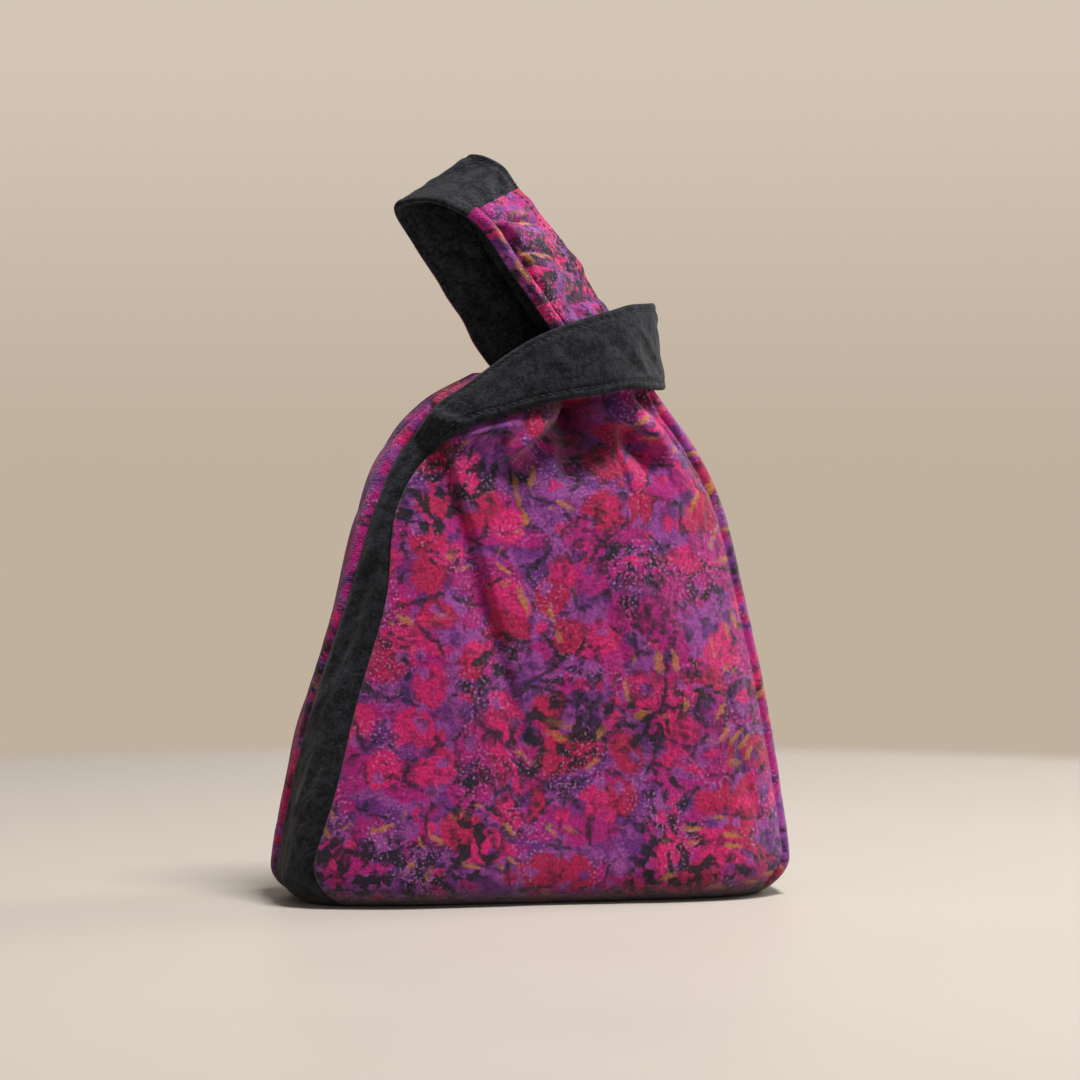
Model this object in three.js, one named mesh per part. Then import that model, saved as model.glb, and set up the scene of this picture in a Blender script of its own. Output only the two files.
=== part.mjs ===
// Knot bag: four sewn panels drawn in to a gathered mouth, a short handle wrapped round it,
// and the loop of a long handle standing up out of the wrap.
// Millimetres, +Z up, front towards -Y, origin at the middle of the underside.
import * as THREE from "three";

// Driving dimensions.
const BASE_WIDTH = 256;
const BASE_DEPTH = 104;
const BODY_HEIGHT = 260;
const LOOP_RISE = 110;
const GUSSET_WIDTH = 58;
const EDGE_ROUND = 16;
const CORNER_LIFT = 7;
const OUTER_CLOTH = 2;
const LINING_CLOTH = 1.4;
const SEAM_GAP = 0.3;
const LINING_EASE = 2.5;
const RIM_EASE = 0.8;
const FOLD_DEPTH = 10;
const FOLD_WIDTH = 10;
const STRAP_BOW = 4;

// Share of the way up that is the rounded lower edge, and how the rows crowd towards the mouth.
const ROUND_SHARE = 0.1;
const ROW_CROWDING = 1.35;
const LINING_SPREAD = 1.4;

// Facets: columns across each panel, rows up all of them, steps along and across the straps.
const FRONT_COLUMNS = 44;
const BACK_COLUMNS = 30;
const SIDE_COLUMNS = 7;
const PANEL_ROWS = 22;
const LINING_COLUMNS = 56;
const LINING_ROWS = 16;
const STRAP_STEPS = 2;
const STRAP_COLUMNS = 4;

// Cubic curve through rows of [where, value, value, ...].
function curveThrough(rows) {
  const where = rows.map((row) => row[0]);
  const values = rows.flatMap((row) => row.slice(1));
  const curve = new THREE.CubicInterpolant(where, values, rows[0].length - 1);
  return (t) => Array.from(curve.evaluate(THREE.MathUtils.clamp(t, where[0], where.at(-1))));
}

// The body's level outline by height: shift to the right, half width, half depth, squareness. Heights are
// shares of the body's height, and the rest shares of its half width and half depth.
const W = BASE_WIDTH / 2;
const D = BASE_DEPTH / 2;
const H = BODY_HEIGHT;
const outlineAt = curveThrough([
  [0, 0, 0.985 * W, D, 4.4],
  [0.06 * H, 0, 0.993 * W, D, 4.2],
  [0.19 * H, 0.0039 * W, 0.959 * W, 0.965 * D, 4],
  [0.38 * H, 0.0195 * W, 0.888 * W, 0.91 * D, 3.6],
  [0.57 * H, 0.0312 * W, 0.798 * W, 0.83 * D, 3.2],
  [0.76 * H, 0.0352 * W, 0.7 * W, 0.72 * D, 2.8],
  [0.857 * H, 0.0312 * W, 0.606 * W, 0.64 * D, 2.6],
  [0.952 * H, 0.0469 * W, 0.455 * W, 0.53 * D, 2.5],
  [H, 0.1172 * W, 0.344 * W, 0.44 * D, 2.5],
]);

// Where the gussets are sewn, by height: cloth from the bag's outermost line on the left to the seams
// in front of it and behind it, then the same on the right, as shares of a gusset's width at the base.
const gussetReach = curveThrough(
  [
    [0, 0.759, 0.241, 0.448, 0.69],
    [0.19, 0.776, 0, 0.414, 0.5],
    [0.38, 0.724, -0.172, 0.362, 0.31],
    [0.57, 0.707, -0.31, 0.276, 0.207],
    [0.76, 0.56, -0.328, 0.19, 0.138],
    [0.857, 0.621, -0.31, 0.138, 0.224],
    [0.952, 0.793, -0.345, 0.103, 0.379],
    [1, 0.69, -0.276, 0.069, 0.345],
  ].map(([height, ...reach]) => [height * H, ...reach.map((share) => share * GUSSET_WIDTH)]),
);

// A strap runs between two edges. Each row is a point of its right edge and one of its left edge, seen
// from outside the loop with the strap running up, and how far its middle bows out between them. Points are
// shares of the half width and half depth, with 0 at the base and 1 at the mouth, and over 1 the share of the
// loop's rise. The bow is a share of the most that a strap bows.
const level = (share) => (share < 1 ? share * H : H + (share - 1) * LOOP_RISE);
const strapRow = ([x, y, z, toX, toY, toZ, bow]) => [
  x * W,
  y * D,
  level(z),
  toX * W,
  toY * D,
  level(toZ),
  bow * STRAP_BOW,
];
const SHORT_HANDLE = [
  [-0.3125, -0.5962, 0.8885, -0.3789, -0.375, 0.9385, 0.75],
  [-0.2266, -0.6442, 0.9077, -0.2852, -0.4038, 0.9712, 0.75],
  [-0.1172, -0.6827, 0.9231, -0.1719, -0.4327, 1.0364, 0.625],
  [0.0078, -0.7115, 0.9385, -0.0312, -0.5192, 1.1455, 0.5],
  [0.1875, -0.7115, 0.9538, 0.1562, -0.5192, 1.2273, 0.5],
  [0.3516, -0.5962, 0.9654, 0.3047, -0.4038, 1.2727, 0.375],
  [0.4688, -0.3365, 0.9654, 0.4219, -0.2308, 1.2909, 0.25],
  [0.5273, -0.1058, 0.9635, 0.4844, -0.0865, 1.2955, 0],
  [0.5391, 0, 0.9635, 0.4961, 0, 1.2955, 0],
  [0.5273, 0.1058, 0.9635, 0.4844, 0.0865, 1.2955, 0],
  [0.4688, 0.3365, 0.9654, 0.4219, 0.2308, 1.2909, 0.25],
  [0.3125, 0.5962, 0.9615, 0.2812, 0.4231, 1.2364, 0.5],
  [0.0625, 0.6923, 0.9308, 0.0156, 0.5192, 1.1273, 0.5],
  [-0.2344, 0.7115, 0.8423, -0.2656, 0.5096, 0.9423, 0.5],
].map(strapRow);
const LONG_HANDLE = [
  [0.3594, 0.1538, 1.0091, 0.1562, -0.2885, 0.9731, 0],
  [0.3125, 0.2115, 1.2636, 0.0625, -0.3846, 1.1727, 0.25],
  [0.1562, 0.2308, 1.5727, -0.1094, -0.4423, 1.4455, 0.5],
  [-0.0352, 0.1731, 1.8409, -0.2812, -0.4808, 1.6909, 0.25],
  [-0.0977, 0.1731, 1.9409, -0.4062, -0.2692, 1.7636, 0],
  [-0.1641, 0.1731, 1.9836, -0.4922, 0.0962, 1.7636, 0],
  [-0.2031, 0.25, 1.9891, -0.5156, 0.2115, 1.75, 0],
  [-0.1875, 0.3269, 1.9709, -0.5078, 0.3077, 1.7182, 0],
  [-0.1172, 0.3269, 1.8364, -0.4375, 0.3269, 1.5818, 0.5],
  [0.0312, 0.2692, 1.5727, -0.2891, 0.3077, 1.3182, 1],
  [0.1797, 0.2308, 1.3091, -0.1484, 0.2596, 1.0545, 1],
  [0.25, 0.2404, 1.1545, -0.0469, 0.275, 0.9692, 0.5],
].map(strapRow);
const CAP_FIRST_ROW = 3;
const CAP_LAST_ROW = 8;

// Height of the short handle's lower edge over the front and over the back, by how far it is to the right.
const WRAP_TURN = 8;
const edgeRow = (row) => [row[0], row[2]];
const frontWrap = curveThrough(SHORT_HANDLE.slice(0, WRAP_TURN).map(edgeRow));
const backWrap = curveThrough(SHORT_HANDLE.slice(WRAP_TURN + 2).reverse().map(edgeRow));

// Folds of the gathered mouth: from, to (x, z), how far they stand out, how wide they are on their left and
// right. Places are shares of the half width and the height, sizes shares of FOLD_DEPTH and FOLD_WIDTH.
const foldRow = ([x, z, toX, toZ, out, left, right]) => ({
  from: new THREE.Vector2(x * W, z * H),
  to: new THREE.Vector2(toX * W, toZ * H),
  out: out * FOLD_DEPTH,
  left: left * FOLD_WIDTH,
  right: right * FOLD_WIDTH,
});
const FRONT_FOLDS = [
  [-0.148, 0.915, -0.344, 0.865, 0.5, 0.6, 0.45],
  [0.109, 0.946, -0.203, 0.827, 1, 1.1, 0.5],
  [0.164, 0.958, 0.156, 0.823, -1.3, 0.8, 0.9],
  [0.242, 0.962, 0.547, 0.85, 0.8, 0.6, 0.9],
  [0.359, 0.908, 0.469, 0.792, -0.7, 0.7, 0.7],
  [0.422, 0.958, 0.664, 0.788, -0.5, 0.4, 0.4],
  [-0.344, 0.792, -0.094, 0.3, -0.3, 1, 0.4],
].map(foldRow);
const BACK_FOLDS = [
  [-0.109, 0.935, -0.266, 0.804, 0.5, 0.9, 0.6],
  [0.047, 0.95, 0, 0.788, -0.7, 1, 1.1],
  [0.219, 0.95, 0.266, 0.796, 0.6, 0.9, 0.7],
  [0.344, 0.958, 0.484, 0.788, -0.5, 0.6, 0.6],
].map(foldRow);

// How far the cloth stands out at (x, z) because of a list of folds. Ridges sink under the lower edge of the
// wrapped handle, and hollows die away at the rim. The lining keeps inside the hollows and skips the ridges.
const smooth = THREE.MathUtils.smoothstep;
function foldHeight(folds, wrap, x, z, inside) {
  const over = z - wrap(x)[0];
  return folds.reduce((sum, { from, to, out, left, right }) => {
    if (inside && out > 0) return sum;
    const along = to.clone().sub(from);
    const here = new THREE.Vector2(x, z).sub(from);
    const share = here.dot(along) / along.lengthSq();
    const aside = along.cross(here) / along.length();
    const rim = out > 0 ? smooth(over, -FOLD_WIDTH, FOLD_WIDTH / 3) : smooth(z, 0.92 * H, 0.985 * H);
    const fade = (1 - rim) * (1 - smooth(share, 0.35, 1.3));
    const wide = (aside > 0 ? right : left) * (inside ? LINING_SPREAD : 1);
    return sum + out * fade * Math.exp(-((aside / wide) ** 2));
  }, 0);
}

// A level outline as points at equal angles, with the length of cloth walked to each of them.
const AROUND = 240;
const outlines = new Map();
function outlineWalk(height, inset) {
  const key = height.toFixed(4) + " " + inset.toFixed(4);
  if (outlines.has(key)) return outlines.get(key);
  const [shift, wide, deep, square] = outlineAt(height);
  const power = (c) => Math.sign(c) * Math.abs(c) ** (2 / square);
  const points = [];
  const walked = [0];
  for (let i = 0; i <= AROUND; i++) {
    const angle = Math.PI + (2 * Math.PI * i) / AROUND;
    const x = shift + (wide - inset) * power(Math.cos(angle));
    const y = (deep - inset) * power(Math.sin(angle));
    points.push(new THREE.Vector2(x, y));
    if (i) walked.push(walked[i - 1] + points[i].distanceTo(points[i - 1]));
  }
  const walk = { points, walked, half: walked[AROUND / 2] };
  outlines.set(key, walk);
  return walk;
}

// Height and inset of a row of the body: round the lower edge first, then up the wall.
function rowAt(v) {
  if (v < ROUND_SHARE) {
    const turn = (v / ROUND_SHARE) * (Math.PI / 2);
    return [EDGE_ROUND * (1 - Math.cos(turn)), EDGE_ROUND * (1 - Math.sin(turn))];
  }
  const share = (v - ROUND_SHARE) / (1 - ROUND_SHARE);
  return [EDGE_ROUND + (H - EDGE_ROUND) * (1 - (1 - share) ** ROW_CROWDING), 0];
}

// Point of an outline at a share of its half length, 0 at the left side, going round by the front to
// 1 at the right side and 2 at the left again, and the way the outline runs there.
function pointOnWalk({ points, walked, half }, share) {
  const at = (((share % 2) + 2) % 2) * half;
  let low = 0;
  let high = AROUND;
  while (high - low > 1) {
    const middle = (low + high) >> 1;
    if (walked[middle] <= at) low = middle;
    else high = middle;
  }
  const part = (at - walked[low]) / (walked[high] - walked[low]);
  const flat = points[low].clone().lerp(points[high], part);
  return { flat, run: points[high].clone().sub(points[low]).normalize() };
}

// Point of the body's outer surface, with the folds of its gathered top and its soft lower corners.
function bodyPoint(share, v, inside) {
  const [height, inset] = rowAt(v);
  const { flat, run } = pointOnWalk(outlineWalk(height, inset), share);
  const folds = run.x > 0 ? [FRONT_FOLDS, frontWrap] : [BACK_FOLDS, backWrap];
  const out = Math.abs(run.x) * foldHeight(...folds, flat.x, height, inside);
  const corner = (2 * run.x * run.y) ** 2;
  const soft = smooth(v, 0, ROUND_SHARE) - smooth(v, ROUND_SHARE, 0.45);
  const lift = CORNER_LIFT * corner * soft;
  return new THREE.Vector3(flat.x + run.y * out, flat.y - run.x * out, height + lift);
}

// Normal of a surface by small steps.
function normalOf(surface, u, v, stepU, stepV) {
  const across = surface(u + stepU, v).sub(surface(u - stepU, v));
  const along = surface(u, Math.min(v + stepV, 1)).sub(surface(u, Math.max(v - stepV, 0)));
  return across.cross(along).normalize();
}

// A grid of cloth as one closed solid: outer face, inner face and the cut edges between them.
function clothSolid(pointAt, normalAt, across, along, outer, inner) {
  const points = [];
  const faces = [];
  const at = (side, i, j) => side * (across + 1) * (along + 1) + j * (across + 1) + i;
  for (const depth of [outer, inner]) {
    for (let j = 0; j <= along; j++) {
      for (let i = 0; i <= across; i++) {
        const u = i / across;
        const v = j / along;
        points.push(...pointAt(u, v).addScaledVector(normalAt(u, v), depth).toArray());
      }
    }
  }
  const quad = (a, b, c, d) => faces.push(a, b, c, a, c, d);
  for (let j = 0; j < along; j++) {
    for (let i = 0; i < across; i++) {
      quad(at(0, i, j), at(0, i + 1, j), at(0, i + 1, j + 1), at(0, i, j + 1));
      quad(at(1, i, j), at(1, i, j + 1), at(1, i + 1, j + 1), at(1, i + 1, j));
    }
    quad(at(0, 0, j), at(0, 0, j + 1), at(1, 0, j + 1), at(1, 0, j));
    quad(at(0, across, j), at(1, across, j), at(1, across, j + 1), at(0, across, j + 1));
  }
  for (let i = 0; i < across; i++) {
    quad(at(0, i, 0), at(1, i, 0), at(1, i + 1, 0), at(0, i + 1, 0));
    quad(at(0, i, along), at(0, i + 1, along), at(1, i + 1, along), at(1, i, along));
  }
  const geometry = new THREE.BufferGeometry();
  geometry.setAttribute("position", new THREE.Float32BufferAttribute(points, 3));
  geometry.setIndex(faces);
  geometry.computeVertexNormals();
  return geometry;
}

// The seams at a row, as shares of the body's half outline.
function seams(v) {
  const { half } = outlineWalk(...rowAt(v));
  const [leftFront, leftBack, rightFront, rightBack] = gussetReach(rowAt(v)[0]).map((reach) => reach / half);
  return {
    leftEnd: -leftBack,
    leftFront,
    rightFront: 1 - rightFront,
    rightBack: 1 + rightBack,
    leftBack: 2 - leftBack,
    gap: SEAM_GAP / 2 / half,
  };
}

// Normal of the body by small steps round it and up it.
const SMALL_STEP = 0.006;
function bodyNormal(share, v) {
  return normalOf(bodyPoint, share, v, SMALL_STEP, SMALL_STEP);
}

// A panel of the body between two seams.
function panel(start, end, across) {
  const share = (u, v) => {
    const at = seams(v);
    return THREE.MathUtils.lerp(start(at) + at.gap, end(at) - at.gap, u);
  };
  const pointAt = (u, v) => bodyPoint(share(u, v), v);
  const normalAt = (u, v) => bodyNormal(share(u, v), v);
  return clothSolid(pointAt, normalAt, across, PANEL_ROWS, 0, -OUTER_CLOTH);
}

// The inner bag: the same body one layer further in, closed across the bottom.
function innerBag(around, along) {
  const ease = (v) => {
    const slack = THREE.MathUtils.lerp(SEAM_GAP, LINING_EASE, smooth(v, 0, ROUND_SHARE));
    return THREE.MathUtils.lerp(slack, RIM_EASE, smooth(v, 0.93, 1));
  };
  const surface = (share, v) => bodyPoint(share, v, true);
  const points = [];
  const faces = [];
  const ring = (side, j) => (side * (along + 1) + j) * around;
  for (const layer of [0, LINING_CLOTH]) {
    for (let j = 0; j <= along; j++) {
      const depth = -OUTER_CLOTH - ease(j / along) - layer;
      for (let i = 0; i < around; i++) {
        const share = (2 * i) / around;
        const normal = normalOf(surface, share, j / along, SMALL_STEP, SMALL_STEP);
        points.push(...surface(share, j / along).addScaledVector(normal, depth).toArray());
      }
    }
  }
  const quad = (a, b, c, d) => faces.push(a, b, c, a, c, d);
  const outerMiddle = points.length / 3;
  points.push(0, 0, OUTER_CLOTH + ease(0));
  points.push(0, 0, OUTER_CLOTH + ease(0) + LINING_CLOTH);
  for (let i = 0; i < around; i++) {
    const k = (i + 1) % around;
    for (let j = 0; j < along; j++) {
      quad(ring(0, j) + i, ring(0, j) + k, ring(0, j + 1) + k, ring(0, j + 1) + i);
      quad(ring(1, j) + i, ring(1, j + 1) + i, ring(1, j + 1) + k, ring(1, j) + k);
    }
    quad(ring(0, along) + i, ring(0, along) + k, ring(1, along) + k, ring(1, along) + i);
    faces.push(outerMiddle, ring(0, 0) + k, ring(0, 0) + i);
    faces.push(outerMiddle + 1, ring(1, 0) + i, ring(1, 0) + k);
  }
  const geometry = new THREE.BufferGeometry();
  geometry.setAttribute("position", new THREE.Float32BufferAttribute(points, 3));
  geometry.setIndex(faces);
  geometry.computeVertexNormals();
  return geometry;
}

// The flat bottom, with a corner below each column of the panels so that their edges run side by side.
function bottom() {
  const at = seams(0);
  const within = outlineWalk(0, EDGE_ROUND + SEAM_GAP);
  const corners = [];
  const stretch = (from, to, columns) => {
    for (let i = 0; i < columns; i++) {
      corners.push(pointOnWalk(within, THREE.MathUtils.lerp(from, to, i / columns)).flat);
    }
  };
  stretch(at.leftEnd, at.leftFront, SIDE_COLUMNS);
  stretch(at.leftFront, at.rightFront, FRONT_COLUMNS);
  stretch(at.rightFront, at.rightBack, SIDE_COLUMNS);
  stretch(at.rightBack, at.leftBack, BACK_COLUMNS);
  return new THREE.ExtrudeGeometry(new THREE.Shape(corners), { depth: OUTER_CLOTH, bevelEnabled: false });
}

// The strap from one row to another, thickened between two distances from its middle surface.
function strap(rows, first, last, outer, inner) {
  const rightOf = (row) => new THREE.Vector3(row[0], row[1], row[2]);
  const leftOf = (row) => new THREE.Vector3(row[3], row[4], row[5]);
  const middle = (row) => rightOf(row).lerp(leftOf(row), 0.5);
  const where = [0];
  for (let i = 1; i < rows.length; i++) {
    const apart = middle(rows[i]).distanceTo(middle(rows[i - 1]));
    where.push(where[i - 1] + apart);
  }
  const edges = curveThrough(rows.map((row, i) => [where[i], ...row]));
  const surface = (u, t) => {
    const row = edges(t);
    const across = leftOf(row).sub(rightOf(row));
    const run = middle(edges(t + 0.5)).sub(middle(edges(t - 0.5)));
    const out = run.cross(across).normalize();
    const bow = row[6] * 4 * u * (1 - u);
    return rightOf(row).lerp(leftOf(row), u).addScaledVector(out, bow);
  };
  const steps = [];
  for (let i = first; i < last; i++) {
    const span = where[i + 1] - where[i];
    for (let k = 0; k < STRAP_STEPS; k++) {
      steps.push(where[i] + (span * k) / STRAP_STEPS);
    }
  }
  steps.push(where[last]);
  if (first > 0) steps[0] += SEAM_GAP / 2;
  if (last < rows.length - 1) steps[steps.length - 1] -= SEAM_GAP / 2;
  const pointAt = (u, v) => surface(v, steps[Math.round(u * (steps.length - 1))]);
  const normalAt = (u, v) => {
    const t = steps[Math.round(u * (steps.length - 1))];
    const run = surface(v, t + 0.5).sub(surface(v, t - 0.5));
    const rise = surface(v + 0.05, t).sub(surface(v - 0.05, t));
    return run.cross(rise).normalize();
  };
  return clothSolid(pointAt, normalAt, steps.length - 1, STRAP_COLUMNS, outer, inner);
}

const OUT = [SEAM_GAP / 2 + OUTER_CLOTH, SEAM_GAP / 2];
const IN = [-SEAM_GAP / 2, -SEAM_GAP / 2 - LINING_CLOTH];
const printed = { color: 0xa51f63, roughness: 0.85 };
const dark = { color: 0x2d3034, roughness: 0.9 };

const bag = new THREE.Group();
bag.name = "knot_bag";
function add(name, geometry, look) {
  const mesh = new THREE.Mesh(geometry, new THREE.MeshStandardMaterial(look));
  mesh.name = name;
  bag.add(mesh);
}
add("front_panel", panel((s) => s.leftFront, (s) => s.rightFront, FRONT_COLUMNS), printed);
add("back_panel", panel((s) => s.rightBack, (s) => s.leftBack, BACK_COLUMNS), printed);
add("left_gusset", panel((s) => s.leftEnd, (s) => s.leftFront, SIDE_COLUMNS), dark);
add("right_gusset", panel((s) => s.rightFront, (s) => s.rightBack, SIDE_COLUMNS), dark);
add("base_panel", bottom(), printed);
add("lining", innerBag(LINING_COLUMNS, LINING_ROWS), dark);
add("short_handle", strap(SHORT_HANDLE, 0, SHORT_HANDLE.length - 1, ...OUT), dark);
add("short_handle_lining", strap(SHORT_HANDLE, 0, SHORT_HANDLE.length - 1, ...IN), dark);
add("long_handle_front", strap(LONG_HANDLE, 0, CAP_FIRST_ROW, ...OUT), printed);
add("long_handle_cap", strap(LONG_HANDLE, CAP_FIRST_ROW, CAP_LAST_ROW, ...OUT), dark);
add("long_handle_back", strap(LONG_HANDLE, CAP_LAST_ROW, LONG_HANDLE.length - 1, ...OUT), printed);
add("long_handle_lining", strap(LONG_HANDLE, 0, LONG_HANDLE.length - 1, ...IN), dark);

export default bag;
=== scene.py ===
# %% [markdown]
# # Dressing a knot bag
# A knot bag is a small lined cloth bag with one short and one long handle: the long one is drawn through the
# short one, and the mouth gathers shut. The frame holds it as plain solids. This lesson replaces each solid
# with fine cloth on the same lines, adds the sewing, and then makes the woven materials, the floor, the light
# and the camera.

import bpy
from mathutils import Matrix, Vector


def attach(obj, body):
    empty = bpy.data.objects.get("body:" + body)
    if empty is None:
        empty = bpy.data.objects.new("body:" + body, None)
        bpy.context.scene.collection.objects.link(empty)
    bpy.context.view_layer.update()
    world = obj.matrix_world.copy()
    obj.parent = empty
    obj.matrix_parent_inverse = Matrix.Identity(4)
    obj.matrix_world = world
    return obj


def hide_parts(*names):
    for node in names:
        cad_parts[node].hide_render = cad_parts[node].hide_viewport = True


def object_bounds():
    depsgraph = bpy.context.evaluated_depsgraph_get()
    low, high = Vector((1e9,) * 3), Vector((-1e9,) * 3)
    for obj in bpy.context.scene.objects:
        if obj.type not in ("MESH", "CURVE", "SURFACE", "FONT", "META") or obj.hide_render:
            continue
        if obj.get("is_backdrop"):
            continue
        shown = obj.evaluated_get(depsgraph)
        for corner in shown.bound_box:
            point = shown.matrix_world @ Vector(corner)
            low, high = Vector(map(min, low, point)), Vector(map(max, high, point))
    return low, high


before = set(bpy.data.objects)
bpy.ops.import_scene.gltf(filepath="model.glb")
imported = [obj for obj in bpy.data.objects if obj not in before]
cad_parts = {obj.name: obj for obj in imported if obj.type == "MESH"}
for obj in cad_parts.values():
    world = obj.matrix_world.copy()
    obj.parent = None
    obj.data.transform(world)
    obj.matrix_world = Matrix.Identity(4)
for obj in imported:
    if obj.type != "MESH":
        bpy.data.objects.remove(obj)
CAD_BOX = [list(corner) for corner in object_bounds()]

import math

import bpy
import numpy as np
from mathutils import Vector

print("CAD box in metres:", CAD_BOX)

# %% [markdown]
# ## Driving dimensions
# Few sizes matter on a soft bag: its base, its height, the round of its lower edge and its cloth. They could
# be typed where they are used, but as named values they are changed in one place. Shapes are worked out in
# millimetres and turned into metres only when a mesh is made.

# %% Sizes
MM = 0.001
BASE_WIDTH = 256
BASE_DEPTH = 104
BODY_HEIGHT = 260
EDGE_ROUND = 16
OUTER_CLOTH = 2
LINING_CLOTH = 1.4
SEAM_GAP = 0.3
W = BASE_WIDTH / 2
D = BASE_DEPTH / 2
H = BODY_HEIGHT
print("body", BASE_WIDTH, "x", BASE_DEPTH, "x", BODY_HEIGHT, "mm")

# %% [markdown]
# ## Curves and hills
# Cloth has no straight lines, so every shape starts from a curve through a few rows of numbers, and its small
# unevenness comes from smooth random hills. Blender's own curves and noise could do both, but numpy works out
# a whole grid of points at once, and hills from a seeded grid come out the same on every run.

# %% Curves


def smoothstep(x, low, high):
    t = np.clip((x - low) / (high - low), 0, 1)
    return t * t * (3 - 2 * t)


def unit(vectors):
    return vectors / np.maximum(np.linalg.norm(vectors, axis=-1, keepdims=True), 1e-9)


def walk(points):
    """How far it is along a line of points to each of them."""
    step = np.linalg.norm(np.diff(points, axis=0), axis=1)
    return np.concatenate([[0], np.cumsum(step)])


def curve_through(rows):
    """A smooth curve through rows of [where, value, value, ...]."""
    rows = np.array(rows, float)
    where, value = rows[:, 0], rows[:, 1:]
    last = len(where) - 1

    def at(t):
        t = np.clip(t, where[0], where[-1])
        i = np.clip(np.searchsorted(where, t, "right") - 1, 0, last - 1)
        before = np.where(i > 0, i - 1, 1)
        after = np.where(i < last - 1, i + 2, last - 1)
        span = where[i + 1] - where[i]
        p = (t - where[i]) / span
        a = span / 2 / (where[i] - where[before])
        b = span / 2 / (where[after] - where[i + 1])
        parts = [
            (before, -a * p**3 + 2 * a * p**2 - a * p),
            (i, (1 + a) * p**3 - (1.5 + 2 * a) * p**2 + (a - 0.5) * p + 1),
            (i + 1, -(1 + b) * p**3 + (1.5 + b) * p**2 + 0.5 * p),
            (after, b * p**3 - b * p**2),
        ]
        return sum(value[k] * weight[..., None] for k, weight in parts)

    return at


print("smoothstep a quarter of the way:", smoothstep(0.25, 0, 1))

# %% Hills
HILL_GRID = 97


def hills(x, y, seed):
    """Smooth hills from -1 to 1, about one unit across."""
    grid = np.random.default_rng(seed).uniform(-1, 1, (HILL_GRID, HILL_GRID))
    x, y = np.broadcast_arrays(x, y)
    i, j = np.floor(x).astype(int), np.floor(y).astype(int)
    p, q = smoothstep(x - i, 0, 1), smoothstep(y - j, 0, 1)
    corner = lambda a, b: grid[(i + a) % HILL_GRID, (j + b) % HILL_GRID]
    low = corner(0, 0) * (1 - p) + corner(1, 0) * p
    high = corner(0, 1) * (1 - p) + corner(1, 1) * p
    return low * (1 - q) + high * q


def rolling(x, y, high, wide, long, seed):
    """Hills of a given height, width and length in mm."""
    return high * hills(x / wide, y / long, seed)


def ridges(x, y, seed, soft=0.02):
    """Round ridges with sharper valleys between them, from about 0 to 1."""
    return np.sqrt(np.abs(hills(x, y, seed)) + soft)


def crowded(count, crowding):
    """Steps from 0 to 1 that crowd towards both ends."""
    s = np.linspace(0, 1, count)
    return s - crowding * np.sin(2 * np.pi * s) / (2 * np.pi)


print("five crowded steps:", crowded(5, 0.5).round(3))

# %% [markdown]
# ## Level outlines
# Cut level, the body is a rounded rectangle that shrinks and rounds off towards the mouth. It could be
# sculpted from a box, but a few level outlines joined by curves are easier to fit to a photograph. A second
# table says how far each dark side strip reaches round to the front and to the back.

# %% Outlines and seams
# Height, shift to the right, half width, half depth, squareness.
OUTLINE = [
    [0, 0, 0.985 * W, D, 4.4],
    [0.06 * H, 0, 0.993 * W, D, 4.2],
    [0.19 * H, 0.5, 0.959 * W, 0.965 * D, 4],
    [0.38 * H, 2.5, 0.888 * W, 0.91 * D, 3.6],
    [0.57 * H, 4, 0.798 * W, 0.83 * D, 3.2],
    [0.76 * H, 4.5, 0.7 * W, 0.72 * D, 2.8],
    [0.857 * H, 4, 0.606 * W, 0.64 * D, 2.6],
    [0.952 * H, 6, 0.455 * W, 0.53 * D, 2.5],
    [H, 15, 0.344 * W, 0.44 * D, 2.5],
]
# Height, reach of the left strip to the front and to the back, and of the right strip to the front and back.
GUSSET_REACH = [
    [0, 42, 14, 26, 40],
    [0.19 * H, 48, 0, 24, 29],
    [0.38 * H, 45.5, -10, 21, 18],
    [0.57 * H, 43, -18, 16, 12],
    [0.76 * H, 32.5, -19, 11, 8],
    [0.857 * H, 36, -18, 8, 13],
    [0.952 * H, 46, -20, 6, 22],
    [H, 40, -16, 4, 20],
]
outline_at = curve_through(OUTLINE)
reach_at = curve_through(GUSSET_REACH)
print("outline at half height:", outline_at(np.array([H / 2]))[0].round(1))

# %% [markdown]
# ## Edges of the handles
# Each handle is one long strap that turns, leans and twists. A path with a tilt could carry it, but two edges
# let each side be placed on its own, which the twist of the loop needs. The short handle starts low on the
# left side strip, crosses the front, folds round at the right and is sewn down on the back.

# %% Strap rows
# Right edge (x, y, z), left edge (x, y, z), and how far the middle bows out between them.
SHORT_HANDLE = [
    [-64, -23.2, 205.8, -72.2, -14.8, 210.8, 0],
    [-56, -22.4, 217.5, -63.5, -14.6, 226, 0],
    [-40, -31, 231, -48.5, -19.5, 244, 3],
    [-29, -33.5, 236, -36.5, -21, 252.5, 3],
    [-15, -35.5, 240, -22, -22.5, 264, 2.5],
    [1, -37, 244, -4, -27, 276, 2],
    [24, -37, 248, 20, -27, 285.5, 2],
    [45, -31, 251.5, 39, -21, 291.5, 1.5],
    [58.5, -17.5, 252, 52.5, -12, 294.5, 1],
    [65.5, -5.5, 251.8, 60.3, -4.5, 295.5, 0],
    [67, 0, 251.8, 61.7, 0, 295.8, 0],
    [65.5, 5.5, 251.8, 60.3, 4.5, 295.5, 0],
    [58.5, 17.5, 252, 52.5, 12, 294.5, 1],
    [40, 31, 250, 36, 22, 287.5, 2],
    [8, 36, 242, 2, 27, 274, 2],
    [-30, 37, 219, -34, 26.5, 245, 2],
    [-44, 32, 207, -46, 24.6, 231, 0],
]
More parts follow.
